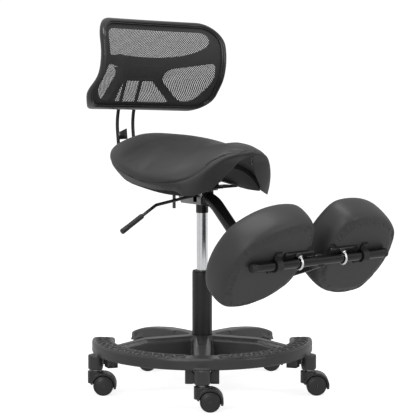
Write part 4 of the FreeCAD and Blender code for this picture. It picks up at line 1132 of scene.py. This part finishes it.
PAD_TILT = math.radians(55.5)
PAD_OUT = 142.0
PAD_UP = -19.0
PAD_TURN = 35.0
PAD_CORNERS = (116, 145, 116, 138)
PAD_BOW = 27
PAD_FRONT = 102.6
PAD_COLUMNS = 96
HELD_RINGS = 7
PLEATS = 110
PLEAT_STEPS = (0.618, 0.371, 0.233, 0.147)
PLEAT_DEEPEST = 2.6
PLEATED_DEPTH = 20
# Share of the edge's reach and depth, from the board's back round to the front
PAD_RINGS = [
    (0.2, 11.2), (0.45, 11.2), (0.64, 11.2), (0.75, 11.2), (0.795, 11.3), (0.82, 11.7), (0.84, 12.9),
    (0.86, 12.6), (0.9, 11.9), (0.94, 12.4), (0.972, 14.2), (0.996, 17.6), (1.015, 23), (1.032, 32),
    (1.042, 45), (1.04, 58), (1.036, 71), (1.018, 82), (0.975, 91.5), (0.895, 97.2), (0.76, 100.4),
    (0.5, 101.9), (0.22, 102.4),
]


def pad_point(out, up, deep):
    forward = up * math.cos(PAD_TILT) - deep * math.sin(PAD_TILT)
    height = up * math.sin(PAD_TILT) + deep * math.cos(PAD_TILT)
    return BAR + Vector((out, -forward, height))


def pad_spot(turn, reach, deep):
    """A place of a pad, from its turn and reach round the pad's middle and its depth."""
    return pad_point(PAD_OUT + reach * math.cos(turn), PAD_UP + reach * math.sin(turn), deep)


def pad_reaches():
    """How far the pad's edge is from its middle, all round: bowed sides between four soft corners."""
    corners = []
    for index, reach in enumerate(PAD_CORNERS):
        angle = math.radians(PAD_TURN + 90 * index)
        corners.append(Vector((reach * math.cos(angle), reach * math.sin(angle))))
    line = []
    for corner, after in zip(corners, corners[1:] + corners[:1]):
        middle = (corner + after) / 2
        line += arc_points(corner, middle * (1 + PAD_BOW / middle.length), after, 40)[:-1]
    angles = np.array([math.atan2(p.y, p.x) % TURN for p in line])
    order = np.argsort(angles)
    reaches = np.array([p.length for p in line])[order]
    turns = np.arange(PAD_COLUMNS) * TURN / PAD_COLUMNS
    spread = np.interp(turns, angles[order], reaches, period=TURN)
    for _ in range(2):
        spread = (np.roll(spread, 1) + 2 * spread + np.roll(spread, -1)) / 4
    return turns, spread


def pad_lump():
    turns, spread = pad_reaches()
    rings = [[pad_point(PAD_OUT, PAD_UP, PAD_RINGS[0][1])]]
    for share, deep in PAD_RINGS:
        rings.append([pad_spot(turn, share * reach, deep) for turn, reach in zip(turns, spread)])
    rings.append([pad_point(PAD_OUT, PAD_UP, PAD_FRONT)])
    return stacked(rings)


def pad_places(mesh):
    """Each point of a left pad as its turn, its share of the edge's reach and its depth."""
    points = coordinates(mesh) / MM - np.array(BAR)
    forward = -points[:, 1]
    height = points[:, 2]
    up = forward * math.cos(PAD_TILT) + height * math.sin(PAD_TILT) - PAD_UP
    deep = -forward * math.sin(PAD_TILT) + height * math.cos(PAD_TILT)
    out = points[:, 0] - PAD_OUT
    turn = np.arctan2(up, out) % TURN
    turns, spread = pad_reaches()
    return turn, np.hypot(out, up) / np.interp(turn, turns, spread, period=TURN), deep


def puckered(mesh):
    """Gathers of the cover where it is pulled round the board's edge and stapled."""
    turn, share, deep = pad_places(mesh)
    lift = np.zeros(len(turn))
    for k in range(PLEATS):
        spot, lean, size, reach = [(k * step) % 1 for step in PLEAT_STEPS]
        place = TURN * (spot + 0.03 * math.sin(29 * spot) + 0.012 * math.sin(k))
        slant = 1.6 * (lean - 0.5)
        apart = (turn - place - slant * (share - 0.9) + math.pi) % TURN - math.pi
        wide = 0.012 + 0.022 * size
        middle = 0.845 + 0.09 * reach
        long = 0.018 + 0.045 * lean
        depth = 0.6 + 4.6 * size * reach
        lift -= depth * np.exp(-(apart / wide) ** 2 - ((share - middle) / long) ** 2)
    lift = np.maximum(lift, -PLEAT_DEEPEST) * (deep < PLEATED_DEPTH) * MM
    set_coordinates(mesh, coordinates(mesh) + outward(mesh) * lift[:, None])


def pad_line(turn, rings):
    turns, spread = pad_reaches()
    reach = float(np.interp(turn, turns, spread, period=TURN))
    return [pad_spot(turn, share * reach, deep) for share, deep in rings]


def mirrored_mesh(mesh, name):
    other = mesh.copy()
    other.name = name
    other.transform(Matrix.Scale(-1, 4, Vector(ACROSS)))
    other.flip_normals()
    return other


def add_pads():
    mesh = make_mesh("left_pad", pad_lump(), 180)
    mesh.materials.append(VINYL)
    mesh = inflated(mesh, range(HELD_RINGS * PAD_COLUMNS + 1), 5)
    mesh = modified(mesh, mesh.name, "SUBSURF", levels=2)
    puckered(mesh)
    seam = pad_line(math.radians(188), PAD_RINGS[11:19])
    groove(mesh, seam + seam[::-1], 1.3, 2.4)
    shade(mesh, 180)
    line = stitched(laid_on(mesh, seam, 0.1), 0.7, closed=False)
    for side, body in (("left", "left_knee"), ("right", "right_knee")):
        left = side == "left"
        form = mesh if left else mirrored_mesh(mesh, "right_pad")
        nodes = (side + "_knee_cushion", side + "_knee_board")
        pad = piece(side + "_pad", form, VINYL, body, "vinyl", *nodes)
        built(side + "_pad_seam", line if left else mirrored(line), THREAD, body, "vinyl")
        for lump, name, material, slot, node in pad_fittings():
            lump = lump if left else mirrored(lump)
            built(f"{side}_{name}", lump, material, body, slot, f"{side}_{node}", sharp=30)


HOOK_OUT = 70.0
STRIP_MIDDLE = (71, 19)
STRIP_HALF = (45, 7)
STRAP_OUT = 138.0
STRAP_SECTION = [
    (-9, -2.2), (9, -2.2), (9, 1.6), (8.2, 2.2), (4.4, 2.2), (3.8, 1.2), (2.8, 1.2), (2.2, 2.2),
    (-2.2, 2.2), (-2.8, 1.2), (-3.8, 1.2), (-4.4, 2.2), (-8.2, 2.2), (-9, 1.6),
]


def half_round(radius, count):
    """Places on the lower half of a circle round the bar, without its ends, as (up, deep)."""
    turns = [math.pi * k / count for k in range(1, count)]
    return [(radius * math.cos(turn), -radius * math.sin(turn)) for turn in turns]


def pad_fittings():
    """Bright hook with its nuts, steel strip and ribbed strap, on the board and round the bar."""
    deep = pad_point(0, 0, 1) - pad_point(0, 0, 0)
    ring = BAR_RADIUS + 3.2
    wire = [(ring, 11), (ring, 0), *half_round(ring, 24), (-ring, 0), (-ring, 11)]
    hook = merged(
        rod([pad_point(HOOK_OUT, *p) for p in wire], 3, ACROSS, 0.5, 20),
        hex_head(pad_point(HOOK_OUT, ring, 1.9), deep, 6.4, 4.8),
        hex_head(pad_point(HOOK_OUT, -ring, 6.1), deep, 6.4, 4.8),
        thread(pad_point(HOOK_OUT, ring, -3.5), deep, 3.15, 5.2, 1.0),
    )
    yield hook, "hook", CHROME, "chrome", "knee_u_bolt"
    x, y = STRIP_MIDDLE
    a, b = STRIP_HALF
    strip = softened([(x - a, y - b), (x + a, y - b), (x + a, y + b), (x - a, y + b)], 4, 5, closed=True)
    rings = []
    for inset, depth in ((0.8, 7.0), (0, 7.8), (0, 10.3), (0.8, 11.1)):
        wide, tall = 1 - inset / a, 1 - inset / b
        rings.append([pad_point(x + (p[0] - x) * wide, y + (p[1] - y) * tall, depth) for p in strip])
    yield stacked(rings, capped=True), "strip", BLACK_STEEL, "black_steel", "knee_hanger"
    mean = BAR_RADIUS + 2.6
    one = softened([(30, 8.9), (mean, 8.9), (mean, 0)], 3.5, 5)
    two = softened([(-mean, 0), (-mean, 8.9), (-30, 8.9)], 3.5, 5)
    path = [pad_point(STRAP_OUT, p[0], p[1]) for p in one + half_round(mean, 16) + two]
    head = [(0, -2.6), (2.4, -2.4), (4.0, -1.4), (4.4, 0), (0, 0)]
    screws = [lathe(head, pad_point(STRAP_OUT, up, 6.7), deep, 24) for up in (24, -24)]
    strap = merged(sweep(path, [(a, -b) for a, b in STRAP_SECTION], ACROSS), *screws)
    yield strap, "strap", SOFT_BLACK, "bush_plastic", "knee_strap"


# Back

BACK_AXIS = 337.0
BACK_HALF = 200.0
BACK_LOW = 690.0
BACK_HIGH = 922.0
BACK_CORNER_HIGH = 59.0
BACK_CORNER_LOW = 48.0
# How far the low part bends back, and the share by which it flares, each with its height and half
LOW_BEND = 13
LOW_BEND_SPAN = (738, 27)
LOW_FLARE = 0.033
LOW_FLARE_SPAN = (735, 30)
ROLL = math.radians(3)
ROLL_HEIGHT = 775.0
# Depth and height of three places on the back's curve as seen from the side
LUMBAR = ((232, 935), (186, 839), (296, 677))


def lumbar_circle():
    (ax, ay), (bx, by), (cx, cy) = LUMBAR
    d = 2 * (ax * (by - cy) + bx * (cy - ay) + cx * (ay - by))
    a2, b2, c2 = ax * ax + ay * ay, bx * bx + by * by, cx * cx + cy * cy
    ux = (a2 * (by - cy) + b2 * (cy - ay) + c2 * (ay - by)) / d
    uy = (a2 * (cx - bx) + b2 * (ax - cx) + c2 * (bx - ax)) / d
    return ux, uy, math.hypot(ax - ux, ay - uy)


LUMBAR_DEPTH, LUMBAR_HEIGHT, LUMBAR_RADIUS = lumbar_circle()


def rolled(x, y, z):
    rise = z - ROLL_HEIGHT
    across = x * math.cos(ROLL) + rise * math.sin(ROLL)
    return Vector((across, y, rise * math.cos(ROLL) - x * math.sin(ROLL) + ROLL_HEIGHT))


def swell(height, middle, half):
    """A smooth swelling about a height, one at its middle."""
    return math.exp(-((height - middle) / half) ** 2)


def back_point(x, z, behind):
    """A place on the back's curved sheet, from its front view and how far it lies behind the net."""
    depth = LUMBAR_DEPTH - math.sqrt(LUMBAR_RADIUS ** 2 - (z - LUMBAR_HEIGHT) ** 2)
    depth += LOW_BEND * swell(z, *LOW_BEND_SPAN)
    reach = BACK_AXIS + depth + behind
    return rolled(x, math.sqrt(reach * reach - x * x) - BACK_AXIS, z)


def back_outline(inset):
    """The front view's rounded outline, drawn in by an inset, with the same steps for each inset."""
    half = BACK_HALF - inset
    corners = []
    for sx, sz, first in ((1, 1, 0), (-1, 1, 90), (-1, -1, 180), (1, -1, 270)):
        radius = (BACK_CORNER_HIGH if sz > 0 else BACK_CORNER_LOW) - inset
        height = BACK_HIGH - inset if sz > 0 else BACK_LOW + inset
        turns = [math.radians(first + 90 * step / 16) for step in range(17)]
        middle = Vector((sx * (half - radius), height - sz * radius))
        corners.append([middle + Vector((math.cos(turn), math.sin(turn))) * radius for turn in turns])
    line = []
    for corner, after, steps in zip(corners, corners[1:] + corners[:1], (34, 14, 34, 14)):
        line += corner
        line += [corner[-1].lerp(after[0], i / steps) for i in range(1, steps)]
    return [Vector((p.x * (1 + LOW_FLARE * swell(p.y, *LOW_FLARE_SPAN)), p.y)) for p in line]


RIM_PROFILE = [
    (0, 4), (0, 0), (0.7, -3.4), (2.2, -6.1), (4.4, -7.7), (6.6, -7.9), (8.2, -6.9), (8.9, -5.2),
    (9.3, -4.1), (9.9, -4.0), (10.4, -5.0), (11.3, -5.6), (12.3, -5.1), (12.9, -3.8), (13, -2),
    (13, 7), (12.2, 10), (9.5, 11.6), (6, 12), (2.6, 10.8), (0.7, 8),
]


def add_rim():
    rings = []
    for inset, behind in RIM_PROFILE:
        rings.append([back_point(p.x, p.y, behind) for p in back_outline(inset)])
    rim = stacked(rings, closed=True)
    built("back_rim_moulding", rim, RIM_PLASTIC, "back", "back_plastic", "back_rim", sharp=50)


UPPER_WINDOW = [
    (-150, 896), (155, 896), (170, 880), (162, 863), (137, 848), (108, 836),
    (76, 829), (18, 826), (-53, 829), (-114, 832), (-166, 827), (-166, 880),
]
MIDDLE_WINDOW = [(-48, 765), (48, 765), (92, 712), (-90, 712)]
LEFT_WINDOW = [
    (60, 774), (73, 798), (180, 819), (184, 778), (176, 744), (158, 722), (140, 715), (114, 716),
]
RIGHT_WINDOW = [
    (-70, 780), (-85, 796), (-167, 808), (-178, 772), (-174, 744), (-156, 722), (-140, 714), (-112, 714),
]
# Each window's corners in the front view, with the radius and steps that soften them
WINDOWS = ((UPPER_WINDOW, 16, 8), (MIDDLE_WINDOW, 9, 6), (LEFT_WINDOW, 14, 8), (RIGHT_WINDOW, 14, 8))
SOCKET = [(197, 806), (268, 806), (284, 790), (292, 768), (262, 768), (218, 772)]
FRAME_STEP = 8
FRAME_INSET = 11.5
FRAME_THICK = 8.6
FRAME_GAP = 2.6
SOCKET_SET_BACK = 43
# Where the set-back part ends at the sides, low and high, and the run over which it fades
SIDE_FADE = (150, 105)
LOW_FADE = (700, 62)
HIGH_FADE = (892, 58)
LEG_REACH = 118
LEG_TOP = 780
LEG_TOP_REACH = 150
WALL_THICK = 3
WALL_DEPTH = 34


def window_lines():
    return [softened(corners, radius, steps, closed=True) for corners, radius, steps in WINDOWS]


def within(point, line):
    """Whether a place of the front view lies inside a closed line."""
    hit = False
    before = line[-1]
    for here in line:
        if (here.y > point.y) != (before.y > point.y):
            cross = (before.x - here.x) * (point.y - here.y) / (before.y - here.y) + here.x
            if point.x < cross:
                hit = not hit
        before = here
    return hit


def frame_sheet(outer, windows):
    """Triangles of the frame's front view, with inner points so that it can bend."""
    def solid(spot):
        return within(spot, outer) and not any(within(spot, line) for line in windows)

    places = []
    edges = []
    for line in [outer] + windows:
        first = len(places)
        places += line
        edges += [(first + i, first + (i + 1) % len(line)) for i in range(len(line))]
    across = int(BACK_HALF / FRAME_STEP)
    for i in range(-across, across + 1):
        for k in range(int(BACK_LOW / FRAME_STEP), int(BACK_HIGH / FRAME_STEP) + 1):
            spot = Vector((i * FRAME_STEP, k * FRAME_STEP))
            if solid(spot):
                places.append(spot)
    flat, _, triangles, _, _, _ = geometry.delaunay_2d_cdt(places, edges, [], 0, 1e-4)
    kept = []
    for triangle in triangles:
        if solid(sum((flat[i] for i in triangle), Vector((0, 0))) / 3):
            kept.append(tuple(triangle))
    return flat, kept


def set_back(place):
    """How far the frame lies behind the net: far at the rod socket, and close along the rim."""
    side = eased((SIDE_FADE[0] - abs(place.x)) / SIDE_FADE[1])
    low = eased((place.y - LOW_FADE[0]) / LOW_FADE[1])
    high = eased((HIGH_FADE[0] - place.y) / HIGH_FADE[1])
    return FRAME_GAP + SOCKET_SET_BACK * side * low * high


def leg_wall(line):
    """A deep thin wall along the part of a side window's edge that a leg bounds."""
    spots = [p for p in line if abs(p.x) < LEG_REACH or (p.y > LEG_TOP and abs(p.x) < LEG_TOP_REACH)]
    spots.sort(key=lambda p: p.y)
    middle = sum(line[1:], line[0]) / len(line)
    rings = []
    for p in spots:
        out = p + (p - middle).normalized() * WALL_THICK
        front = set_back(p)
        rear = front + WALL_DEPTH
        corners = ((p, front), (out, front), (out, rear), (p, rear))
        rings.append([back_point(spot.x, spot.y, behind) for spot, behind in corners])
    return stacked(rings, capped=True)


def frame_solid():
    flat, triangles = frame_sheet(back_outline(FRAME_INSET), window_lines())
    count = len(flat)
    points = [back_point(p.x, p.y, set_back(p)) for p in flat]
    points += [back_point(p.x, p.y, set_back(p) + FRAME_THICK) for p in flat]
    faces = list(triangles) + [tuple(count + i for i in reversed(t)) for t in triangles]
    used = {}
    for a, b, c in triangles:
        for edge in ((a, b), (b, c), (c, a)):
            key = tuple(sorted(edge))
            used[key] = None if key in used else edge
    faces += [(b, a, count + a, count + b) for a, b in filter(None, used.values())]
    return points, faces


def add_frame():
    socket = stacked([[rolled(x, y, z) for y, z in SOCKET] for x in (-38, 38)], capped=True)
    forms = [make_mesh("frame_sheet", frame_solid()), make_mesh("frame_socket", socket)]
    forms += [make_mesh("leg_wall", leg_wall(line)) for line in window_lines()[2:]]
    mesh = moulded("back_frame_moulding", forms, 1.5, 6, 0.5)
    piece("back_frame_moulding", mesh, FRAME_PLASTIC, "back", "back_plastic", "back_frame")


NET_PITCH = 3.9
NET_OPEN = 0.435
NET_INSET = 11.8


def add_net():
    """A stretched net of diamond holes; each cell is a small frame of four faces."""
    outline = back_outline(NET_INSET)
    half = NET_PITCH / math.sqrt(2)
    steps = ((1, 0), (0, 1), (-1, 0), (0, -1))
    corners = {}
    points = []
    faces = []

    def corner(i, k):
        if (i, k) not in corners:
            corners[i, k] = len(points)
            points.append(back_point(i * half, BACK_LOW + k * half, 0))
        return corners[i, k]

    across = int(BACK_HALF / half) + 1
    tall = int((BACK_HIGH - BACK_LOW) / half) + 1
    for i in range(-across, across + 1):
        for k in range(tall + 1):
            centre = Vector((i * half, BACK_LOW + k * half))
            if (i + k) % 2 or not within(centre, outline):
                continue
            rim = [corner(i + a, k + b) for a, b in steps]
            hole = range(len(points), len(points) + 4)
            for a, b in steps:
                x = centre.x + a * half * NET_OPEN
                points.append(back_point(x, centre.y + b * half * NET_OPEN, 0))
            for j, after in ((0, 1), (1, 2), (2, 3), (3, 0)):
                faces.append((rim[j], rim[after], hole[after], hole[j]))
    net = built("back_net", (points, faces), NET, "back", "net", "back_mesh", sharp=180)


def add_back():
    add_rim()
    add_frame()
    add_net()
    rods = []
    for x in (-25.5, 25.5):
        corners = [(x, 90, 514), (x, 300, 514), (x, 317, 672), (x, 268, 790)]
        rods.append(rod(bent(corners, [32, 150], 18), 4.5, ACROSS, 0.8, 24))
    built("back_rod_pair", merged(*rods), BLACK_STEEL, "back", "black_steel", "back_rods")
    piece("back_tab", bevelled("back_brace", 0.6), BLACK_STEEL, "back", "black_steel", "back_brace")


def dress_inner_nodes():
    for node in ("thrust_bearing", "piston_rod", "piston", "retaining_clip", "release_button"):
        paint(node, STEEL)
    paint("bump_stop", RUBBER)


add_camera()
add_studio()
add_base()
add_casters()
add_lift()
add_carrier()
add_lever()
add_saddle()
add_knee_arm()
add_pads()
add_back()
dress_inner_nodes()
